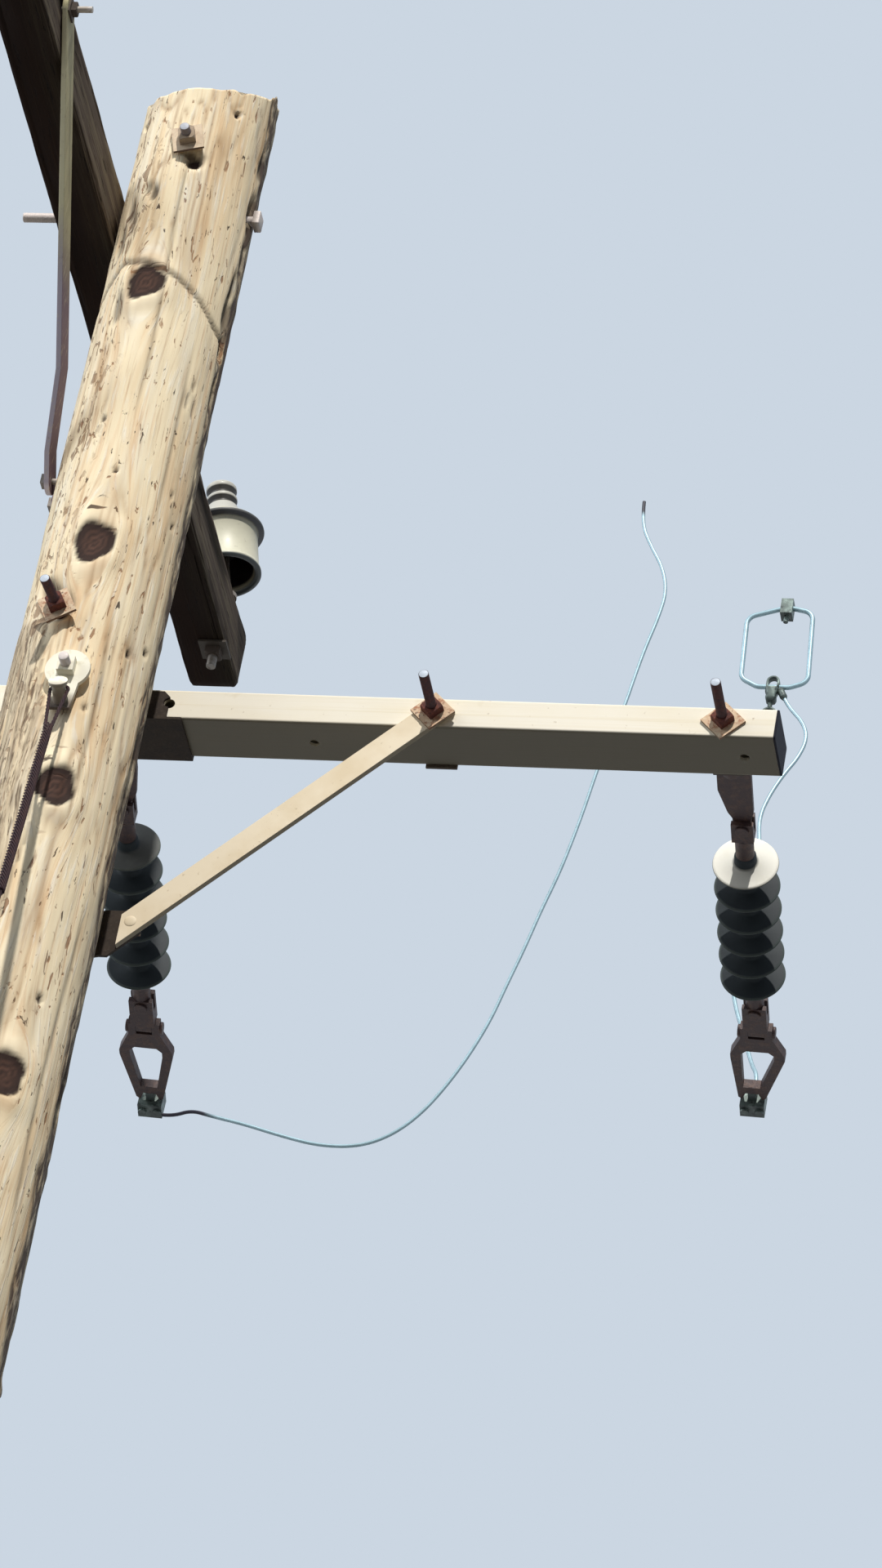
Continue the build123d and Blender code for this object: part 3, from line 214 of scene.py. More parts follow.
def eased(name, width, material, mirrored=False):
    """Copy of a CAD node in one skin with its sharp edges rounded, standing for the node.

    A mirrored one is turned front to back about the middle of its own box.
    """
    shape = bmesh.new()
    shape.from_mesh(nodes[name].data)
    bmesh.ops.remove_doubles(shape, verts=shape.verts, dist=1e-5)
    bmesh.ops.dissolve_limit(shape, angle_limit=math.radians(1), verts=shape.verts, edges=shape.edges)
    if mirrored:
        low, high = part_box(name)
        for corner in shape.verts:
            corner.co.y = low[Y] + high[Y] - corner.co.y
        bmesh.ops.recalc_face_normals(shape, faces=shape.faces)
    mesh = bpy.data.meshes.new(name + "_eased")
    shape.to_mesh(mesh)
    shape.free()
    for layer in [each for each in mesh.attributes if each.name == "custom_normal"]:
        mesh.attributes.remove(layer)
    mesh.polygons.foreach_set("use_smooth", [True] * len(mesh.polygons))
    mesh.materials.clear()
    mesh.materials.append(material)
    piece = placed(name + "_eased", mesh)
    bevel = piece.modifiers.new("rounded_edges", "BEVEL")
    bevel.width = width
    bevel.segments = 2
    bevel.limit_method = "ANGLE"
    bevel.angle_limit = math.radians(38)
    shading = piece.modifiers.new("flat_faces", "WEIGHTED_NORMAL")
    shading.keep_sharp = True
    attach(piece, "root")
    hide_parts(name)


# Forms on grids of rings

def closed(grid):
    """Points of a grid of rings, row by row, then the middles of its first and last ring."""
    return np.concatenate([grid.reshape(-1, 3), np.stack([grid[0].mean(0), grid[-1].mean(0)])])


def tube(grid):
    """Points and faces of a grid of rings: quads between the rings and a fan over each end."""
    rows, columns = grid.shape[:2]
    row, column = np.meshgrid(np.arange(rows - 1), np.arange(columns), indexing="ij")
    here = row * columns + column
    beside = row * columns + (column + 1) % columns
    quads = np.stack([here, beside, beside + columns, here + columns], -1).reshape(-1, 4)
    ring = np.arange(columns)
    after = (ring + 1) % columns
    last = (rows - 1) * columns
    centre = np.full(columns, rows * columns)
    start_fan = np.stack([centre, after, ring], -1)
    end_fan = np.stack([centre + 1, last + ring, last + after], -1)
    return closed(grid), quads.tolist() + start_fan.tolist() + end_fan.tolist()


def smooth_noise(across, along, cells, seed):
    """Value noise between -1 and 1 on a unit lattice that repeats every `cells` units across."""
    rows = 512
    table = np.random.default_rng(seed).uniform(-1.0, 1.0, (rows, cells))
    column, row = np.floor(across).astype(int), np.floor(along).astype(int)
    right, up = across - column, along - row
    right = right * right * (3 - 2 * right)
    up = up * up * (3 - 2 * up)
    left_cell, right_cell = column % cells, (column + 1) % cells
    low, high = [table[level % rows, left_cell] * (1 - right) + table[level % rows, right_cell] * right
                 for level in (row, row + 1)]
    return low * (1 - up) + high * up


def ramp(value, start, span):
    """0 up to start and 1 from a span further on, which may be negative."""
    return np.clip((value - start) / span, 0, 1)


def unit(vectors):
    """The vectors at length 1."""
    return np.asarray(vectors, float) / np.linalg.norm(vectors, axis=-1, keepdims=True)


def full_turn(count):
    """Angles evenly round a circle."""
    return np.linspace(0, 2 * math.pi, count, endpoint=False)


def circle(angle, across, upward):
    """The points of a unit circle from across towards upward."""
    return np.cos(angle)[..., None] * across + np.sin(angle)[..., None] * upward


def squared(angle, power):
    """The two coordinates of a superellipse, nearer to a square as the power falls."""
    return [np.sign(wave) * np.abs(wave) ** power for wave in (np.cos(angle), np.sin(angle))]


def with_ends(values, before, after, last=0.0):
    """Values of rings with rows of 0 before them and of last behind, and the two centres."""
    rows = np.pad(values, ((before, after), (0, 0)), constant_values=((0, last), (0, 0)))
    return np.append(rows, [0, last])


def turned(profile, origin, across, along, sides):
    """Surface of revolution: each (radius, place) of the profile is a ring about the along axis."""
    along = unit(along)
    across = unit(across - along * np.dot(across, along))
    outline = circle(full_turn(sides), across, np.cross(along, across))
    return tube(np.asarray(origin) + profile[:, None, :1] * outline + profile[:, None, 1:] * along)


def ring_masks(masks, sides):
    """Values given ring by ring, spread over the points of the rings and the two end centres."""
    return {key: np.append(np.repeat(values * 1.0, sides), [values[0], values[-1]])
            for key, values in masks.items()}


def laid_wires(path, normal, count, wire, lay, pitch, sides=6, centre=False):
    """Wires laid in helices round a path.

    The path is a dense row of points. Each wire's centre circles it at radius lay, one turn
    each pitch, counted from the given normal.
    """
    tangent = unit(np.gradient(path, axis=0))
    run = np.concatenate([[0], np.cumsum(np.linalg.norm(np.diff(path, axis=0), axis=1))])
    across = unit(np.cross(tangent, normal))
    upward = np.cross(across, tangent)
    starts = [(2 * math.pi * k / count, lay) for k in range(count)] + [(0.0, 0.0)] * centre
    wires = []
    for start, reach in starts:
        out = circle(2 * math.pi * run / pitch + start, across, upward)
        spine = path + reach * out
        side = np.cross(unit(np.gradient(spine, axis=0)), out)
        wires.append(tube(spine[:, None] + wire * circle(full_turn(sides), out[:, None], side[:, None])))
    return joined(wires)


# Stretches of the pole and arms along X, Y or Z where a layer fades in
high_up = (Z, 9.5, 9.52)
shade_by_upper_arm = (X, -0.080, -0.090)
shade_behind_lower_arm = (Y, 0.200, 0.210)
lower_brace_foot = (Z, 8.75, 8.7)
upper_brace_half = (Z, 9.74, 9.62)


# Finishes

# Pressure-treated pine, debarked and sun-bleached: cream wood with tan and pinkish streaks
# along the grain, chips and dark flecks where it checked, grey where the outer layer has
# split off, purplish brown knots, painted shade in its dents, cracks and checks, and painted
# shade darkening its right side.
pine = finish("weathered_pine", "#FFEECB", [
    marks((42, 42, 380), "#F0D0A4", 0.48, 0.66, 0.7),
    marks((26, 26, 300), "#FFF4DA", 0.50, 0.66, 0.7),
    marks((10, 10, 230), "#E0B486", 0.53, 0.70, 0.5, height=-0.7),
    marks((4.5, 4.5, 120), "#B08257", 0.55, 0.76, 0.45, height=-0.8, detail=5),
    marks((8, 8, 90), "#FFF9E8", 0.56, 0.68, 0.6, height=0.7),
    marks((13, 13, 44), "#94633F", 0.635, 0.685, 0.8, height=-1.0, twist=0.8),
    marks((7, 7, 34), "#33211A", 0.675, 0.71, 0.9, height=-1.0, twist=0.4),
    marks((20, 20, 70), "#7A4A34", 0.68, 0.74, 0.75, height=-1.3, twist=0.7),
    marks((15, 15, 40), "#7D5A40", 0.57, 0.62, 0.75, mask="chipped", height=-1.4, twist=0.9),
    tint("#A27A52", 0.65, mask="furrow"),
    marks((14, 14, 160), "#B5A288", 0.30, 0.60, 0.8, mask="grey", height=1.2),
    marks((6, 6, 50), "#6B5846", 0.52, 0.66, 0.85, mask="grey", height=-1.0),
    marks((16, 16, 60), "#3A2928", 0.32, 0.54, 0.92, mask="shade", height=-1.5),
    tint("#27160F", mask="knot"),
    tint("#6A4A3C", 0.6, mask="heart"),
    # Painted shade in the dents, the cracks, the checks and the split edge of the outer layer.
    tint("#301F18", mask="hollow"),
], roughness=0.82, source="grain", specular=0.3)

# Rough-sawn fir, weathered, in painted shade: near black, darker still on faces that point
# down, painted lighter purplish grey on its pole side, with raised grain, paler streaks
# there and long slots painted dark as their shade.
fir = finish("sawn_fir", "#35231A", [
    marks((30, 500, 30), "#20130D", 0.40, 0.65, 0.85, detail=4),
    marks((5, 220, 5), "#54402F", 0.54, 0.72, 0.6, height=0.8),
    tint("#655A51", 0.88, mask="painted_side_light"),
    marks((9, 260, 9), "#867B69", 0.45, 0.68, 0.8, mask="painted_side_light"),
    marks((14, 120, 14), "#43352B", 0.56, 0.70, 0.8, mask="painted_side_light", height=-0.8),
    marks((6, 90, 6), "#140C08", 0.63, 0.69, 0.9, height=-2.0),
    # Painted shade in the slots.
    tint("#0E0806", 0.95, mask="slot"),
    tint("#150B07", 0.7, below=True),
], roughness=0.85, source="grain", specular=0.12)

# Pultruded glass fibre, chalked by the sun: cream, faintly mottled, nearly matt, with painted shade
# darkening the faces that point down.
fibreglass = finish("pultruded_fibreglass", "#F7F0DF", [
    marks((240, 60, 60), "#F1E6CB", 0.42, 0.70, 0.6),
    marks((900, 4, 4), "#E2D3AE", 0.50, 0.75, 0.45, height=0.15),
    marks(14, "#A58E6A", 0.68, 0.76, 0.6),
    marks(50, "#CDBB95", 0.64, 0.80, 0.4),
    tint("#6C634F", 0.94, below=True),
], roughness=0.55)

# Moulded end caps of the same arm, painted near black with a bluish cast: painted shade.
cap_plastic = finish("moulded_cap_plastic", "#171823", [
    marks(20, "#2B2A35", 0.50, 0.70, 0.6),
], roughness=0.7, specular=0.15)

# Pultruded braces, a shade warmer than the arm, with dusty flecks and painted shade darkening the faces
# that point down.
brace_fibreglass = finish("pultruded_brace", "#F1E2C6", [
    marks(90, "#E0CCA8", 0.42, 0.66, 0.7),
    marks(8, "#A98F69", 0.66, 0.76, 0.5),
    tint("#8A7E68", 0.8, below=True),
], roughness=0.6)

# Galvanised steel gone pale and pinkish, with patches of rust; those on the pole's left by the upper arm
# are painted dark as its shade.
galvanised = finish("galvanised_steel", "#BBB0A4", [
    marks(12, "#D8D0C8", 0.45, 0.62, 0.8, gloss=-0.1),
    marks(9, "#8A5F48", 0.60, 0.74, 0.7, gloss=0.2),
    tint("#EDE0C6", reach=lower_brace_foot),
    tint("#3A302A", 0.6, reach=(X, -0.120, -0.130)),
], roughness=0.5, metallic=0.3)

# Square washers: zinc gone chalky pink and blotched with rust, with painted shade darkening
# their faces that point down and the washers behind the lower arm and by the upper one.
washer_steel = finish("rust_stained_zinc", "#D3B595", [
    marks(10, "#E2CFB2", 0.45, 0.62, 0.8),
    marks(9, "#A2623F", 0.52, 0.66, 0.75, height=0.2),
    marks(5, "#542418", 0.60, 0.70, 0.8),
    tint("#D8C6AC", 0.75, reach=high_up),
    tint("#4A2A20", 0.85, below=True),
    tint("#2A1E19", 0.92, reach=shade_by_upper_arm),
    tint("#40382F", 0.9, reach=shade_behind_lower_arm),
], roughness=0.7, metallic=0.15)

# The saddle's and the brace foot bracket's steel: dark brown and dull, its darkness painted shade.
saddle_steel = finish("stained_galvanised_steel", "#3A3028", [
    marks(25, "#241C18", 0.40, 0.65, 0.8),
    marks(6, "#544A40", 0.55, 0.70, 0.4, height=0.1),
], roughness=0.7, metallic=0.1, specular=0.2)

# Rusted nuts: dark red-brown scale with orange powder; the high ones are still zinc grey, and those by the
# upper arm are painted dark as its shade.
rust = finish("rusted_steel", "#4C1E15", [
    marks(9, "#6E3422", 0.42, 0.62, 0.8, height=0.3),
    marks(4, "#2C130E", 0.50, 0.70, 0.7, height=-0.25),
    marks(3, "#A8653A", 0.62, 0.72, 0.6),
    tint("#B5A38C", 0.85, reach=high_up),
    tint("#2A1E19", 0.92, reach=shade_by_upper_arm),
], roughness=0.75, metallic=0.15)

# Threaded bolts: dark purplish brown rust, their cut ends painted bright and bluish white as a
# highlight, and those that the masks mark pale still bright with zinc.
thread_steel = finish("rusted_thread", "#36191A", [
    marks(7, "#552720", 0.42, 0.62, 0.7, height=0.2),
    marks(3, "#241012", 0.50, 0.70, 0.7, height=-0.2),
    tint("#D9CEC8", mask="pale"),
    tint("#C6D0DC", 0.9, mask="tip"),
], roughness=0.6, metallic=0.2)

# Forged and cast fittings: dark purplish brown iron with a dull sheen and thin rust.
iron = finish("forged_iron", "#3B2A2A", [
    marks(14, "#5A4238", 0.45, 0.65, 0.7, height=0.3),
    marks(4, "#20181E", 0.50, 0.70, 0.6, height=-0.2),
    marks(8, "#7A6456", 0.66, 0.76, 0.5),
], roughness=0.55, metallic=0.25)

# Malleable iron plate with chalky cream paint, painted darker towards its bottom as shade.
plate_paint = finish("chalky_plate_paint", "#FAF5E2", [
    marks(16, "#DCD3B4", 0.52, 0.70, 0.7, height=0.2),
    marks(5, "#8B7B60", 0.68, 0.76, 0.7, height=-0.2),
    tint("#7C6C5C", 0.9, reach=(Z, 8.822, 8.800)),
    tint("#3A2C2C", 0.9, reach=(Z, 8.800, 8.786)),
], roughness=0.7)

# Upper braces: galvanised bars dulled to a greenish tan, purplish brown at their lower half, their faces
# that point down painted near white as a highlight.
brace_zinc = finish("dusty_galvanised_bar", "#BAB28B", [
    marks((20, 20, 200), "#9A9070", 0.40, 0.65, 0.6),
    tint("#F6EFCE", 0.95, below=True),
    tint("#6E5A68", reach=upper_brace_half),
    tint("#E6DEEC", 0.95, reach=upper_brace_half, below=True),
    marks((5, 5, 30), "#D8CFAC", 0.58, 0.70, 0.4),
    marks((8, 8, 40), "#6B4436", 0.62, 0.74, 0.4),
], roughness=0.65, metallic=0.15)

# Glazed porcelain: cream-grey skirt and greyer head under clear glaze, with painted shade: dark in the
# head's grooves and under the umbrella's brim, near black on faces that point down and inside the skirt.
porcelain = finish("glazed_porcelain", "#E2DFC8", [
    marks(60, "#CFCBB6", 0.45, 0.70, 0.6, gloss=0.1),
    tint("#C2C0B8", 0.9, mask="head"),
    tint("#35312C", 0.95, mask="groove"),
    marks(8, "#98917F", 0.64, 0.76, 0.4, gloss=0.3),
    tint("#1A171B", 0.95, below=True),
    tint("#33353F", 0.9, mask="brim"),
    tint("#120C0D", mask="inside"),
    tint("#596062", mask="rim"),
], roughness=0.42, coat=0.15, specular=0.35)

# Silicone rubber sheds: dark greenish slate, which is painted shade, with painted highlights on
# their rims and the first one's face painted pale as if in sunlight.
silicone = finish("silicone_rubber", "#2B3236", [
    marks(40, "#20262B", 0.40, 0.65, 0.7),
    tint("#59625F", mask="rim"),
    tint("#FFFDF2", mask="dust"),
    marks(30, "#EAE6D4", 0.54, 0.74, 0.4, mask="dust"),
], roughness=0.6, specular=0.25)

# Bare aluminium wire: pale with a cool cast and fine dark oxide specks.
aluminium = finish("bare_aluminium", "#A6C2CD", [
    marks(14, "#93AFB8", 0.40, 0.65, 0.6),
    marks(4, "#5E7078", 0.64, 0.74, 0.5),
], roughness=0.42, metallic=0.4)

# The loose wire is tarnished black for its first stretch and at its tip.
tarnished = finish("tarnished_aluminium", "#A6C2CD", [
    marks(14, "#93AFB8", 0.40, 0.65, 0.6),
    tint("#262432", reach=(X, 0.040, 0.010)),
    tint("#2B2A33", reach=(Z, 10.340, 10.355)),
], roughness=0.42, metallic=0.35)

# Clamp castings: aluminium darkened to a greenish grey, with pale worn spots and painted shade on faces
# that point down.
cast_aluminium = finish("weathered_cast_aluminium", "#5F6B67", [
    marks(22, "#93A49E", 0.48, 0.62, 0.75),
    marks(12, "#2E3335", 0.52, 0.66, 0.75),
    tint("#2A2E30", 0.6, below=True),
], roughness=0.5, metallic=0.35)

# Guy strand: galvanised wires that have rusted to a dark purplish brown.
guy_steel = finish("rusted_guy_strand", "#301C20", [
    marks((14, 14, 60), "#442A26", 0.45, 0.65, 0.6),
    marks((4, 4, 12), "#1C1218", 0.50, 0.70, 0.6),
], roughness=0.7, metallic=0.2, specular=0.3)

node_finishes = {
    "lower_crossarm": fibreglass, "arm_cap": cap_plastic, "lower_brace": brace_fibreglass,
    "arm_saddle": saddle_steel, "brace_foot_bracket": saddle_steel, "upper_brace": brace_zinc,
    "guy_plate": plate_paint, "guy_nut": plate_paint, "pin_insulator": porcelain,
    "strain_insulator": silicone, "stirrup": aluminium, "tap_clamp": cast_aluminium,
    "stirrup_connector": cast_aluminium, "clamp_bolts": cast_aluminium,
    "clamp_body": cast_aluminium, "guy_strand": guy_steel, "guy_grip": guy_steel,
    "pole_bolts": thread_steel, "arm_bolts": thread_steel, "square_washers": washer_steel,
    "square_nuts": rust, "anchor_rod": rust, "brace_bolts": galvanised, "lag_screws": galvanised,
    "line_pin": galvanised, "pole": pine, "upper_crossarm": fir, "right_jumper": aluminium,
    "loose_jumper": tarnished,
}


def finish_of(name):
    """The finish of a node, by the longest key that its name starts with; forged iron if none."""
    kinds = [key for key in node_finishes if name.startswith(key)]
    return node_finishes[max(kinds, key=len)] if kinds else iron


for node_name, node in nodes.items():
    node.data.materials.clear()
    node.data.materials.append(finish_of(node_name))

# Forged, cast and bent pieces get the rounded edges of the real ones, in metres. The lower
# braces show the backs of their channels to the front.
edge_widths = {
    "dead_end_eye": 0.003, "end_fittings": 0.0025, "clevis": 0.004, "clamp_bail": 0.005,
    "clamp_body": 0.003, "cross_pins": 0.0012, "square_nuts": 0.0012, "guy_nut": 0.002,
    "guy_plate": 0.002, "arm_saddle": 0.0012, "lower_brace": 0.0018, "upper_brace": 0.0015,
    "stirrup_connector": 0.004, "arm_cap": 0.001,
}
for kind, width in edge_widths.items():
    for name in [each for each in nodes if each.startswith(kind)]:
        eased(name, width, finish_of(name), mirrored=kind == "lower_brace")


# Pole. Angles are in degrees from the -Y side towards +X, and sizes in millimetres, heights
# from the lower arm's underside. The skin is a grid of the two, finer at the top and in front.

degrees = np.concatenate([np.linspace(-100, 112, 98), np.linspace(112, 260, 42)[1:-1]])[None, :]
turn = degrees / 360
level = np.concatenate([np.linspace(0, 7.2, 150, endpoint=False),
                        np.linspace(7.2, pole_height, 505)])[:, None]
above = (level - lower_arm_z) / MM

# Knots: angle, height, half width and half height
knots = ((-5.8, 806, 36, 41), (1.8, 202, 37, 46), (15.9, -335, 36, 42), (26.3, -931, 38, 44),
         (150, 420, 30, 34), (205, -120, 32, 36), (-95, -610, 30, 35), (118, -1500, 32, 37),
         (-40, -2100, 34, 40), (20, -3050, 36, 42), (170, -2500, 32, 37), (250, -3600, 32, 36))
# Dents: angle, height, half width, half height, depth and how dark their painted shade is
dents = ((12, 1104, 17, 19, 18, 1.0), (7, 1122, 14, 12, 10, 0.8), (-54, 1304, 7, 12, 9, 1.0),
         (41, 1314, 7, 12, 8, 1.0), (82, 1066, 10, 26, 9, 1.0), (87, 1020, 8, 18, 9, 1.0),
         (80, 880, 8, 34, 8, 0.9), (84, 740, 10, 34, 8, 0.9), (-28, 755, 12, 40, 5, 0.6),
         (-42, 1000, 10, 30, 5, 0.6), (-48, 930, 12, 40, 5, 0.5), (-27, 72, 24, 44, 17, 1.0),
         (-14, 58, 24, 32, 13, 0.9), (-33, 108, 12, 20, 10, 0.9), (-19, 1028, 9, 20, 8, 0.8),
         (-27, 1046, 8, 16, 7, 0.6), (-36, 966, 8, 30, 5, 0.5), (6.2, 366, 5, 6, 6, 1.0),
         (-16, 487, 5, 6, 6, 0.9), (51.7, -12, 5, 9, 7, 1.0), (69.4, 15, 5, 9, 7, 0.9),
         (24.5, -160, 5, 8, 6, 0.8), (41.7, -764, 6, 9, 8, 1.0), (59.5, 358, 4, 7, 5, 0.9),
         (68.5, 298, 4, 7, 5, 0.9), (53.2, 568, 4, 20, 4, 0.6), (62, 560, 4, 22, 4, 0.6),
         (57, 606, 4, 12, 4, 0.6), (83, 1066, 12, 40, 9, 0.7), (88, 960, 14, 50, 9, 0.7),
         (80, 814, 14, 46, 11, 0.8), (86, 640, 10, 40, 6, 0.5), (84, 1190, 10, 40, 7, 0.6),
         (92, -200, 14, 80, 7, 0.5), (95, -900, 14, 90, 8, 0.5))
# Long checks: angle and the heights between which they run
checks = ((8, 480, 1180), (31, -420, 90), (46, 250, 700), (-45, -1300, -700), (12, -1350, -1000),
          (60, -1250, -500), (130, -1800, 900), (175, -2600, 300), (220, -900, 1000),
          (-80, -3400, -1700), (5, -4700, -2200), (75, -6800, -3500), (-30, -8200, -4200),
          (140, -8600, -5200))
# The curved crack over the top knot, by angle and height
crack_degrees = (-75, -34, -10, 11, 34, 48, 62, 76, 87)
crack_heights = (800, 866, 853, 831, 808, 787, 764, 752, 744)
# The edge of the outer layer left standing, by height and angle
layer_heights = (-1500, -900, -618, -426, -180, 16, 60)
layer_degrees = (-75, -30, -4, 6, -5, -24, -36)
# Broken places of the roof's rim: angle, width in degrees and rise
rim_breaks = ((-54, 6, -14), (41, 5, -11), (85, 4, 22), (78, 3, 12), (150, 6, -9), (-80, 5, -7))


def skin_noise(cells, per_metre, seed):
    """Noise over the skin with so many cells round the pole and so many up each metre."""
    return smooth_noise(turn * cells, level * per_metre, cells, seed)


def drift(run, per_metre, seed):
    """Noise that changes along the run alone."""
    return smooth_noise(np.zeros_like(run), run * per_metre, 3, seed)


def beside(radius, place):
    """Millimetres round the pole from an angle, negative on its left."""
    return (np.radians(degrees - place + 180) % (2 * math.pi) - math.pi) * radius / MM


def tapered_skin():
    """Radius and furrows: a straight taper, less slow hollows, ripples and fine furrows of noise."""
    radius = foot_radius + (top_radius - foot_radius) * level / pole_height
    for depth, cells, per_metre, seed in ((2.2, 9, 1.3, 11), (1.3, 40, 5, 12), (0.9, 110, 16, 13)):
        radius = radius - depth * MM * (1 + skin_noise(cells, per_metre, seed))
    wavy = level * 4.5 + 0.35 * skin_noise(20, 6, 14)
    furrow = (1 - np.abs(smooth_noise(turn * 62, wavy, 62, 15))) ** 7
    furrow = furrow * np.clip(0.4 + 0.9 * skin_noise(14, 2.2, 16), 0, 1)
    return radius - 2.6 * MM * furrow, furrow


def with_knots(radius):
    """Radius with a swollen collar round each knot, the grain drawn round them, and two masks.

    A knot's outline is an ellipse that waves three and five times round.
    """
    grain = np.radians(degrees) * radius
    knot, heart = np.zeros_like(radius), np.zeros_like(radius)
    for place, height, half_width, half_height in knots:
        across, over = beside(radius, place), above - height
        bearing = np.arctan2(over, across)
        wobble = 1 + 0.07 * np.sin(3 * bearing + height) + 0.05 * np.sin(5 * bearing - place)
        reach = np.sqrt((across / half_width) ** 2 + (over / half_height) ** 2) / wobble
        radius = radius + 4.5 * MM * np.exp(-((reach - 1.25) / 0.55) ** 2) - 2.5 * MM * (reach < 1.0)
        knot = np.maximum(knot, ramp(reach, 1.06, -0.12))
        rings = 0.55 + 0.45 * np.cos(2 * math.pi * reach / 0.27)
        heart = np.maximum(heart, rings * ramp(reach, 0.86, -0.45))
        flow = np.sqrt((across / half_width) ** 2 + (over / (2.2 * half_height)) ** 2)
        grain = grain - across * MM / np.maximum(flow, 1) ** 2
    return radius, grain, knot, heart


def with_dents(radius):
    """Radius with bell-shaped dents, and the painted shade in them."""
    hollow = np.zeros_like(radius)
    for place, height, half_width, half_height, depth, dark in dents:
        across, over = beside(radius, place) / half_width, (above - height) / half_height
        bell = np.exp(-(across ** 2 + over ** 2) ** 1.6)
        radius = radius - depth * MM * bell
        hollow = np.maximum(hollow, dark * np.clip(bell * 1.6 - 0.3, 0, 1))
    return radius, hollow


def with_cracks(radius, hollow):
    """Radius and painted shade with the curved crack and the long checks, which wander a little."""
    rise = above - np.interp(degrees, crack_degrees, crack_heights)
    inside = (degrees > -80) & (degrees < 89)
    groove = np.exp(-(rise / 5.5) ** 2) * inside
    radius = radius - 5 * MM * groove - 1.5 * MM * inside * np.exp(-((rise + 12) / 12) ** 2)
    hollow = np.maximum(hollow, 0.75 * groove)
    for check, (place, low, high) in enumerate(checks):
        wander = place + 5 * drift(level, 2.5, 30 + check)
        across = np.radians(degrees - wander) * radius / MM
        groove = np.exp(-(across / 3.2) ** 2) * (ramp(above, low, 120) * ramp(above, high, -120))
        radius = radius - 4 * MM * groove
        hollow = np.maximum(hollow, 0.55 * groove)
    return radius, hollow


def with_outer_layer(radius, hollow):
    """Radius and masks: the grey outer layer on the left, painted shade at its split edge and on the right
    side.
    """
    edge = np.interp(above, layer_heights, layer_degrees) + 4 * drift(level, 14, 21)
    in_front = degrees > -100
    layer = ramp(degrees, edge, -3) * in_front * ramp(above, 60, -30) * ramp(above, -1500, 500)
    radius = radius + 2.5 * MM * layer
    # The right side is painted dark from about 80 degrees round: painted shade where the light falls off.
    shade = ramp(degrees - 80, 5 * drift(level, 9, 23), 5) * ramp(degrees, 128, -10)
    radius = radius - 1.6 * MM * shade * (1 + skin_noise(60, 30, 24))
    split = np.exp(-((edge - degrees) / 1.6) ** 2) * (layer > 0)
    return radius, {"hollow": np.maximum(hollow, 0.45 * split), "shade": shade,
                    "chipped": ramp(degrees, -8, -26) * in_front * np.ones_like(level),
                    "grey": layer * ramp(degrees, -100, 20)}


def with_seats(radius):
    """Radius held back to the flat seats of the two arms."""
    for low, high, facing, flat in (
            (saddle_low, saddle_high, -np.cos(np.radians(degrees)), saddle_front),
            (upper_arm_low[Z], upper_arm_high[Z], -np.sin(np.radians(degrees)), -upper_arm_high[X])):
        seated = (level > low) & (level < high) & (facing > 0)
        radius = np.where(seated, np.minimum(radius, flat / np.maximum(facing, 1e-6)), radius)
    return radius


def pole_surface():
    """Skin of the pole on the grid of angle and height.

    Heights near the top slide to the ragged rim of the roof plane, and rings that shrink to
    a centre close the roof and the foot. The grain attribute lays the skin on an even
    cylinder, drawn in at the knots, so that its streaks flow round them.
    """
    radius, furrow = tapered_skin()
    radius, grain, knot, heart = with_knots(radius)
    radius, masks = with_outer_layer(*with_cracks(*with_dents(radius)))
    radius = with_seats(radius)
    angle = np.radians(degrees)
    x, y = radius * np.sin(angle), -radius * np.cos(angle)
    slope = math.tan(roof_slope)

    def roof_plane(over_x, over_y):
        """Height of the sloping roof over a place."""
        return pole_height - slope * top_radius + slope * (
            over_x * math.sin(roof_turn) + over_y * math.cos(roof_turn))

    ragged = 3 * MM * smooth_noise(turn * 34, turn * 0, 34, 41)
    for spot, size, rise in rim_breaks:
        ragged = ragged + rise * MM * np.exp(-((degrees - spot) / size) ** 2)
    rim = np.minimum(roof_plane(x[-1], y[-1]) + ragged - 3 * MM, pole_height)
    slide_start = 10.08
    slide = np.clip((level - slide_start) / (pole_height - slide_start), 0, None)
    height = np.where(level > slide_start, slide_start + slide * (rim - slide_start), level)

    share = np.array([0.96, 0.88, 0.76, 0.62, 0.48, 0.34, 0.2, 0.09])[:, None]
    roof_x, roof_y = x[-1] * share, y[-1] * share
    ridges = 1.5 * MM * smooth_noise(turn * 24, share * 9, 24, 43)
    roof = np.stack([roof_x, roof_y, roof_plane(roof_x, roof_y) - 3 * MM + ridges], -1)
    foot_share = np.array([0.1, 0.4, 0.7, 0.93])[:, None]
    foot = np.stack([x[0] * foot_share, y[0] * foot_share, x[0] * foot_share * 0], -1)

    warped = grain / radius
    even = np.stack([0.14 * np.sin(warped), -0.14 * np.cos(warped), height], -1)
    masks.update({"knot": knot, "heart": heart, "furrow": furrow})
    attributes = {key: with_ends(values, len(foot), len(roof), 0.8 * (key == "grey"))
                  for key, values in masks.items()}
    attributes["grain"] = closed(np.concatenate([foot, even, roof * (1, 1, 0.05)]))
    wall = np.stack([x, y, height], -1)
    add_piece("pole_timber", *tube(np.concatenate([foot, wall, roof])), pine, ["pole"], attributes)


pole_surface()


# Upper crossarm

# Slots: from and to along Y, and the share of a turn round the arm where they lie
arm_slots = ((-1.25, -0.45, 0.02), (-0.2, 0.5, 0.985), (0.35, 1.1, 0.015), (-1.0, 0.1, 0.74),
             (0.1, 1.2, 0.78), (-0.9, 0.9, 0.5))


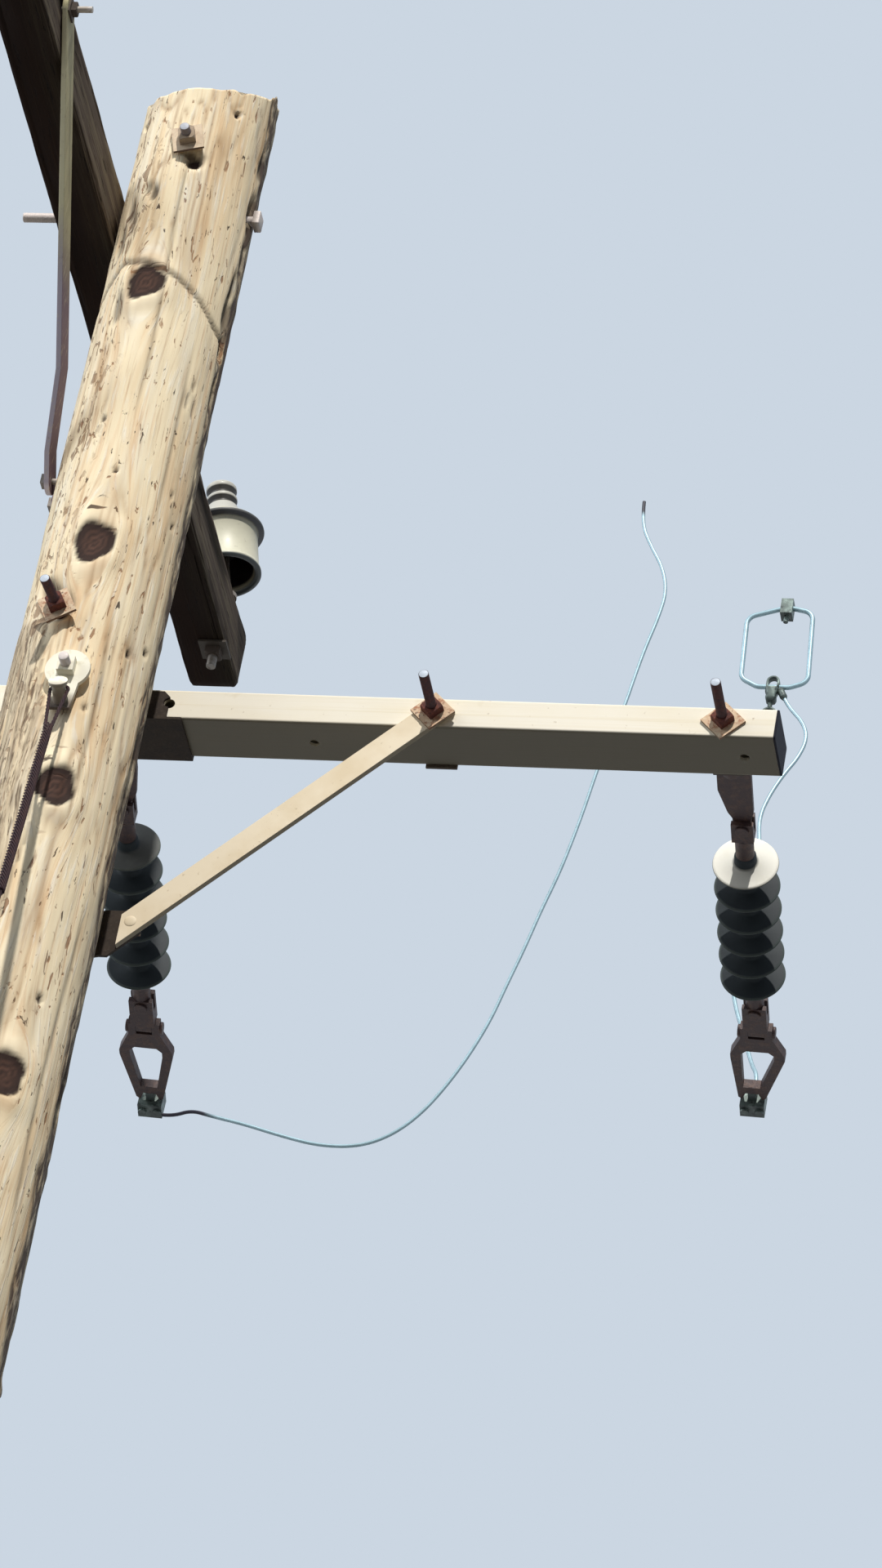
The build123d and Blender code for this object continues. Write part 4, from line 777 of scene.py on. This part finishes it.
def upper_arm_surface():
    """Sawn timber: a superellipse carried along Y, worn back at its sides and ends by noise."""
    low, high = np.array(upper_arm_low), np.array(upper_arm_high)
    centre, half = (low + high) / 2, (high - low) / 2
    columns = full_turn(96)
    side, rise = squared(columns, 0.16)
    around = (columns / (2 * math.pi))[None, :]
    run = np.linspace(low[Y], high[Y], 420)[:, None]
    wear = 3 * MM * np.exp(-((high[Y] - np.abs(run)) / 0.01) ** 2)
    for depth, cells, per_metre, seed in ((1.2, 26, 7, 51), (0.7, 60, 18, 52)):
        wear = wear + depth * MM * (1 + smooth_noise(around * cells, run * per_metre, cells, seed))
    slot = np.zeros_like(wear)
    for spot, (start, end, place) in enumerate(arm_slots):
        gap = np.abs((around - place - 0.012 * drift(run, 4, 60 + spot) + 0.5) % 1 - 0.5)
        slot = np.maximum(slot, np.exp(-(gap / 0.0045) ** 2) * ramp(run, start, 0.1) * ramp(run, end, -0.1))
    shrink = wear + 5 * MM * slot
    x = np.minimum(centre[X] + side * (half[X] - shrink), high[X])
    z = centre[Z] + rise * (half[Z] - shrink)
    grid = np.stack([x, run * np.ones_like(x), z], -1)
    axis = np.array([centre[X], 0, centre[Z]])
    share = np.array([0.3, 0.6, 0.85, 0.97])[:, None, None] ** np.array([1, 0, 1])
    grid = np.concatenate([axis + (grid[0] - axis) * share, grid, axis + (grid[-1] - axis) * share[::-1]])
    points, faces = tube(grid)
    # The pole side is painted lighter than the rest: painted light and shade of one timber.
    painted_side_light = np.clip(side, 0, 1) * np.ones_like(run)
    add_piece("upper_arm_timber", points, faces, fir, ["upper_crossarm"], {
        "grain": points, "slot": with_ends(slot, len(share), len(share)),
        "painted_side_light": with_ends(painted_side_light, len(share), len(share))})


upper_arm_surface()


# Dead-end strings: six thin rounded sheds on a core, by radius and place in millimetres

shed_sides = 72
first_shed = 287
shed = ((20, -7), (25, -4), (55, -1), (59, 0), (60, 2), (59, 4), (54, 6), (28, 14), (21, 19))
string_profile = np.array(
    [(1, 262), (16, 262), (20, 266)]
    + [(radius, first_shed + 65 * count + place) for count in range(6) for radius, place in shed]
    + [(20, 654), (16, 660), (1, 660)], float)
radius, place = string_profile.T

# Each string: its start, how far it turns towards -X and drops, in degrees, and how much of its first face
# is painted sunlit
for name, origin, skew, sag, sunlit_share in (("left", (-1.1125, 0.2368, 8.9990), 4.0, 2.9, 1.0),
                                       ("middle", (0.00894, 0.2368, 9.0048), 5.8, 7.1, 0.12),
                                       ("right", (1.1415, 0.2368, 8.9990), 4.0, 2.9, 1.0)):
    sideways = math.tan(math.radians(skew))
    along = (-sideways, 1, -math.tan(math.radians(sag)))
    # The rims get a painted highlight, and the first shed's face a painted sunlit pale.
    dust = sunlit_share * (place <= first_shed) * ramp(radius, 20, 6)
    add_piece("sheds_" + name, *turned(string_profile * MM, origin, (1, sideways, 0), along, shed_sides),
              silicone, ["strain_insulator_" + name],
              ring_masks({"rim": (radius > 58) * 0.8, "dust": dust}, shed_sides))


# Pin insulators: grooved head, umbrella shed, deep skirt and its inside

insulator_sides = 96
insulator_profile = np.array([
    (1, 228), (24, 228), (29, 226.5), (31, 223), (31, 216), (30, 214), (24.5, 208), (24, 205.5),
    (24.5, 203), (30, 198), (31, 196.5), (31, 191), (30, 189), (24.5, 184), (24, 181.5), (24.5, 179),
    (30, 174), (31, 172), (34, 164), (39, 150),
    (48, 140), (66, 125), (78, 115), (81.5, 111), (82, 107.5), (80, 104.5), (72, 105), (68, 101),
    (68, 16), (70, 11), (72, 7), (72, 2), (70, 0), (62, 0), (60, 3), (57.5, 9), (56, 16), (56, 94),
    (52, 98), (34, 102), (30, 98), (30, 62), (28, 60), (13.4, 60), (13.4, 64), (9.9, 142.2),
    (1, 142.2)], float)
radius, height = insulator_profile.T
ring = np.arange(len(insulator_profile))
# groove, brim and inside mark painted shade.
insulator_masks = {
    "head": ring < 20, "groove": (ring < 17) & (radius < 30.5) & (height < 215),
    "brim": (ring > 22) & (radius > 71.5) & (height > 100), "inside": ring > 35,
    "rim": (ring > 30) & (ring < 35)}
pin_top = upper_arm_high[Z] + 0.008
pin_x, pin_rise = -0.145, 0.048
for name, y, lean in (("near", -1.178, 0.0), ("middle", 0.430, 0.0), ("far", 1.178, 12.0)):
    tilt = math.radians(lean)
    axis = np.array([-math.sin(tilt), 0, math.cos(tilt)])
    surface = turned(insulator_profile * MM, np.array([pin_x, y, pin_top]) + pin_rise * axis,
                     (math.cos(tilt), 0, math.sin(tilt)), axis, insulator_sides)
    add_piece("porcelain_" + name, *surface, porcelain, ["pin_insulator_" + name],
              ring_masks(insulator_masks, insulator_sides))


# Bolts

bar_sides = 20
thread_pitch = 2.54 * MM
thread_depth = 1.2 * MM


def threaded_bar(start, tip, diameter, threaded):
    """Round bar threaded at its tip.

    The radius falls by a triangle wave of place over pitch plus angle over a full turn, which
    is one helical groove, and the last ring is cut back as the bolt's chamfer.
    """
    start, tip = np.array(start), np.array(tip)
    length = np.linalg.norm(tip - start)
    along = (tip - start) / length
    across = unit(np.cross(along, (0, 0, 1) if abs(along[Z]) < 0.9 else (1, 0, 0)))
    thread = np.arange(length - threaded + MM, length - MM, thread_pitch / 4)
    place = np.concatenate([[0, length - threaded], thread, [length - MM / 2, length]])[:, None]
    angle = full_turn(bar_sides)[None, :]
    wave = np.abs(((place / thread_pitch + angle / (2 * math.pi)) % 1) * 2 - 1)
    radius = diameter / 2 - thread_depth * wave * (place > length - threaded)
    radius[-1] = diameter / 2 - 1.5 * thread_depth
    outline = circle(angle, across, np.cross(along, across))
    return tube(start + radius[..., None] * outline + place[..., None] * along)


def square_head(seat, direction, side, thickness):
    """Square block with rounded corners and an eased outer edge: a superellipse carried along."""
    direction = np.array(direction, float)
    across = np.cross(direction, (0, 0, 1))
    right, high = squared(full_turn(48), 0.15)
    outline = side / 2 * (np.outer(right, across) + np.outer(high, np.cross(direction, across)))
    rows = np.array([(0.9, 0.0), (1.0, 0.0), (1.0, 0.85), (0.95, 0.97), (0.88, 1.0)])
    return tube(np.array(seat) + rows[:, None, :1] * outline + rows[:, None, 1:] * thickness * direction)


# Each bolt: inner end, tip, length of its thread, the way its head points or None, how pale
bolt_diameter = 0.019
bolts = {
    "arm_bolts": [((side * 0.610, 0.2418, 8.991), (side * 0.610, -0.0002, 8.991), 0.105, (0, 1, 0), 0.0)
                  for side in (-1, 1)]
    + [((side * 1.127, 0.2538, 8.999), (side * 1.127, 0.0078, 8.999), 0.108, None, 0.0)
       for side in (-1, 1)],
    "pole_bolts": [((0.0102, 0.2630, 9.0045), (-0.0396, -0.2108, 9.0148), 0.085, None, 0.0),
                   ((0.007, 0.1309, 10.115), (0.007, -0.1629, 10.115), 0.035, (0, 1, 0), 0.35),
                   ((0.014, 0.1352, 8.874), (0.014, -0.1743, 8.874), 0.035, (0, 1, 0), 1.0),
                   ((0.1261, 0, 10.0265), (-0.3158, 0, 10.0265), 0.092, (1, 0, 0), 1.0)],
}
for name, rows in bolts.items():
    surfaces, tip_highlights, pales = [], [], []
    for start, tip, threaded, head, pale in rows:
        parts = [threaded_bar(start, tip, bolt_diameter, threaded)]
        # The end ring and cap of each bolt carry its painted highlight, fainter on the pale ones.
        end = np.zeros(len(parts[0][0]))
        end[-2 - bar_sides:-2] = end[-1] = 1 - pale
        if head:
            parts.append(square_head(start, head, 0.030, 0.013))
        surfaces += parts
        sizes = [len(points) for points, faces in parts]
        tip_highlights += [end, np.zeros(sum(sizes[1:]))]
        pales.append(np.full(sum(sizes), pale))
    add_piece(name.replace("bolts", "bolt_bars"), *joined(surfaces), thread_steel, [name],
              {"tip": np.concatenate(tip_highlights), "pale": np.concatenate(pales)})

# Low round heads of the bolts that hold the feet of the lower braces
head_profile = np.array([(0.5, 1.6), (4, 1.5), (7.5, 1.1), (10, 0.5), (11, 0.0), (11, -1.0),
                         (0.5, -1.0)]) * MM
foot_heads = [turned(head_profile, (side * 0.146, 0.1108, 8.5154), (1, 0, 0), (0, -1, 0), 32)
              for side in (-1, 1)]
add_piece("brace_foot_heads", *joined(foot_heads), brace_fibreglass)


# Down guy

guy_loop_centre = np.array([0.0140, -0.15578, 8.81272])
anchor_loop_centre = np.array([1.1955, -4.39954, 0.32133])
guy_along = unit(anchor_loop_centre - guy_loop_centre)
guy_across = np.array([0.992343, 0.055215, 0.110481])
guy_out = np.cross(guy_along, guy_across)
grip_merge = 0.150
grip_gap = 0.005


def straight(start, end, step):
    """Evenly spaced points from start to end."""
    count = max(2, round(np.linalg.norm(end - start) / step))
    return start + (end - start) * np.linspace(0, 1, count)[:, None]


def guy_strand():
    """Seven laid wires from one grip's mouth to the other's."""
    mouth = guy_along * 0.172
    path = straight(guy_loop_centre + mouth, anchor_loop_centre - mouth, 0.0125)
    wires = laid_wires(path, guy_out, 6, 1.58 * MM, 3.17 * MM, 0.133, sides=5, centre=True)
    add_piece("guy_strand_wires", *wires, guy_steel, ["guy_strand"])


def guy_grip(name, centre, along, across, normal, held):
    """Preformed grip: a bundle of wires round what holds it, whose legs close on the strand.

    The bundle's path is half a circle and two straight legs that meet the strand; beyond
    that eight wires run round the strand in one open helix.
    """
    radius = held + 0.0038
    turned_past = math.asin((radius - grip_gap) / grip_merge)
    arc = centre + radius * circle(np.linspace(-turned_past, math.pi + turned_past, 40), across, -along)
    meeting = centre + along * grip_merge
    right_leg = straight(meeting + across * grip_gap, arc[0], 0.006)[:-1]
    left_leg = straight(arc[-1], meeting - across * grip_gap, 0.006)[1:]
    loop = laid_wires(np.concatenate([right_leg, arc, left_leg]), normal, 4, 1.45 * MM, 2.0 * MM, 0.055)
    sleeve = straight(centre + along * 0.142, centre + along * 0.755, 0.006)
    cover = laid_wires(sleeve, normal, 8, 1.75 * MM, 6.7 * MM, 0.085)
    add_piece(name + "_wires", *joined([loop, cover]), guy_steel, [name])


guy_strand()
guy_grip("guy_grip_top", guy_loop_centre, guy_along, guy_across, guy_out, 0.012)
guy_grip("guy_grip_bottom", anchor_loop_centre, -guy_along, guy_out, guy_across, 0.0095)


# Tap clamp on the stirrup bar

def clamp_body(centre):
    """Superellipse whose half widths change with height."""
    right, deep = squared(full_turn(32), 0.5)
    rows = np.array([(6, 6, -39), (9, 10, -37), (11, 13, -30), (10, 12, -20), (13, 14, -10),
                     (14, 14, -7), (12, 12, -5)]) * MM
    return tube(centre + np.stack([np.outer(rows[:, 0], right), np.outer(rows[:, 1], deep),
                                   rows[:, 2:] * np.ones_like([right])], -1))


def clamp_hook(centre):
    """Flat strip whose path is two upright runs joined by half a circle over the bar."""
    bend = np.linspace(0, math.pi, 13)
    hook_x = np.concatenate([[-11, -11], -11 * np.cos(bend), [11, 11]]) * MM
    hook_z = np.concatenate([[-14, -4], 11 + 11 * np.sin(bend), [6, -3]]) * MM
    path = np.stack([hook_x, np.zeros_like(hook_x), hook_z], -1)
    outwards = np.cross(unit(np.gradient(path, axis=0)), (0, 1, 0))
    corners = np.array([(-1, -0.8), (-0.8, -1), (0.8, -1), (1, -0.8), (1, 0.8), (0.8, 1), (-0.8, 1),
                        (-1, 0.8)])[None, :]
    strip = corners[..., :1] * 2.4 * MM * outwards[:, None] + corners[..., 1:] * 7 * MM * (0, 1, 0)
    return tube(centre + path[:, None] + strip)


def clamp_eye(centre):
    """Ring of round wire at the foot of the screw."""
    around = np.linspace(-math.pi / 2 + 0.02, 1.5 * math.pi - 0.02, 40)
    spoke = circle(around, np.array([1, 0, 0]), np.array([0, 0, -1]))[:, None]
    section = full_turn(10)[None, :, None]
    return tube(centre + spoke * (13 + 3.3 * np.cos(section)) * MM + 3.3 * MM * np.sin(section) * (0, 1, 0))


def tap_clamp():
    """Cast body, hook over the bar, eye screw and terminal."""
    centre = np.array([0.917, 1.480, lower_arm_z + 1.140])
    eye_centre = centre - (0, 0, 0.066)
    screw = threaded_bar(centre - (0, 0, 0.030), eye_centre + (0, 0, 0.013), 0.010, 0.020)
    barrel = np.array([(1, -24), (6, -24), (7.5, -22), (7.5, -3), (7, 0), (5.2, 1), (5.2, 4), (1, 4)]) * MM
    terminal = turned(barrel, (0.9430, 1.4790, lower_arm_z + 1.114), (0, 1, 0), (0.46, -0.035, -0.887), 24)
    parts = [clamp_body(centre), clamp_hook(centre), clamp_eye(eye_centre), screw, terminal]
    return add_piece("tap_clamp_casting", *joined(parts), cast_aluminium, ["tap_clamp"])


clamp_casting = tap_clamp()


# Jumpers

right_jumper_points = (
    (0.943, 1.479, 10.081), (0.956, 1.478, 10.056), (0.991, 1.472, 10.015),
    (1.005, 1.467, 9.972), (0.994, 1.461, 9.92), (0.973, 1.452, 9.873),
    (0.953, 1.44, 9.811), (0.942, 1.424, 9.741), (0.958, 1.406, 9.654),
    (0.96, 1.388, 9.559), (0.956, 1.37, 9.468), (0.954, 1.352, 9.381),
    (0.959, 1.33, 9.297), (0.977, 1.308, 9.217), (1.009, 1.284, 9.131),
    (1.037, 1.262, 9.049), (1.0563, 1.2401, 9.0102), (1.0564, 1.2381, 8.9703),
)
loose_jumper_points = (
    (-0.0697, 1.239, 8.8616), (-0.0488, 1.2411, 8.8616), (-0.014, 1.238, 8.874),
    (0.026, 1.238, 8.863), (0.094, 1.238, 8.848), (0.169, 1.239, 8.826),
    (0.246, 1.241, 8.809), (0.322, 1.243, 8.813), (0.38, 1.245, 8.844),
    (0.427, 1.246, 8.895), (0.465, 1.247, 8.961), (0.498, 1.248, 9.035),
    (0.527, 1.247, 9.116), (0.546, 1.246, 9.198), (0.568, 1.244, 9.282),
    (0.587, 1.242, 9.369), (0.61, 1.24, 9.457), (0.626, 1.238, 9.54),
    (0.639, 1.236, 9.619), (0.65, 1.234, 9.699), (0.664, 1.233, 9.785),
    (0.683, 1.232, 9.857), (0.693, 1.232, 9.932), (0.704, 1.233, 10.006),
    (0.719, 1.234, 10.08), (0.727, 1.236, 10.148), (0.711, 1.238, 10.211),
    (0.678, 1.24, 10.268), (0.652, 1.241, 10.325), (0.649, 1.242, 10.381),
)


def jumper(name, points, diameter, replaced, material):
    """A wire as one smooth spline with the route's points as its control points."""
    curve = bpy.data.curves.new(name, "CURVE")
    curve.dimensions = "3D"
    curve.bevel_depth = diameter / 2
    curve.bevel_resolution = 4
    curve.use_fill_caps = True
    spline = curve.splines.new("NURBS")
    spline.points.add(len(points) - 1)
    for point, place in zip(spline.points, points):
        point.co = (*place, 1.0)
    spline.order_u = 3
    spline.use_endpoint_u = True
    spline.resolution_u = 8
    curve.materials.append(material)
    piece = placed(name, curve)
    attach(piece, "root")
    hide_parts(replaced)
    return piece


right_wire = jumper("right_jumper_wire", right_jumper_points, 0.008, "right_jumper", aluminium)
loose_wire = jumper("loose_jumper_wire", loose_jumper_points, 0.007, "loose_jumper", tarnished)


# Stage, light and camera. The floor and the backdrop look pale but give little light.

def two_sided_light(owner, output, kind, shown, hidden):
    """Nodes that show one shader to the camera and in reflections, and another to all else."""
    tree = cleared_tree(owner)
    rays = add_node(tree, "LightPath")
    seen = add_node(tree, "Math", {0: rays.outputs["Is Camera Ray"], 1: rays.outputs["Is Glossy Ray"]},
                    operation="MAXIMUM")
    mixed = add_node(tree, "MixShader", {0: seen.outputs[0], 1: add_node(tree, kind, hidden).outputs[0],
                                         2: add_node(tree, kind, shown).outputs[0]})
    add_node(tree, output, {"Surface": mixed.outputs[0]})


floor_reach = 400
floor_mesh = bpy.data.meshes.new("stage_floor")
floor_corners = floor_reach * np.array([(-1, -1, 0), (1, -1, 0), (1, 1, 0), (-1, 1, 0)])
floor_mesh.from_pydata(floor_corners.tolist(), [], [(0, 1, 2, 3)])
floor_material = bpy.data.materials.new("pale_floor")
two_sided_light(floor_material, "OutputMaterial", "BsdfDiffuse",
                {"Color": linear("#D9DDE0")}, {"Color": linear("#4C4B48")})
floor_mesh.materials.append(floor_material)
floor = placed("stage_floor", floor_mesh)

world = bpy.data.worlds.new("pale_backdrop")
bpy.context.scene.world = world
two_sided_light(world, "OutputWorld", "Background",
                {"Color": linear("#CBD6E2"), "Strength": 1.0},
                {"Color": linear("#DCE6F4"), "Strength": 0.27})

# The main lamp stands high on the near side, and a wide weak one on the left
for name, energy, spread, colour, pitch, yaw in (("key", 3.3, 1.5, (1.0, 0.97, 0.92), 42, 10),
                                                 ("side", 1.5, 50, (0.92, 0.96, 1.0), 70, -65)):
    lamp = bpy.data.lights.new(name, "SUN")
    lamp.energy = energy
    lamp.angle = math.radians(spread)
    lamp.color = colour
    placed(name, lamp).rotation_euler = (math.radians(pitch), 0, math.radians(yaw))

focal_pixels = 8775.8
picture_height = 1920
camera = bpy.data.cameras.new("camera")
camera.sensor_width = 36.0
camera.lens = focal_pixels / picture_height * camera.sensor_width
camera.clip_end = 1000
forward = unit((-0.2115, 0.7879, 0.5784))
upward = np.array([-0.0339, -0.5973, 0.8013])
upward = unit(upward - forward * np.dot(upward, forward))
camera_object = placed("camera", camera)
camera_object.location = (3.3003, -9.7657, 1.5837)
turn_matrix = np.stack([np.cross(forward, upward), upward, -forward], -1).tolist()
camera_object.rotation_euler = Matrix(turn_matrix).to_euler()
bpy.context.scene.camera = camera_object
bpy.context.scene.view_settings.view_transform = "Standard"
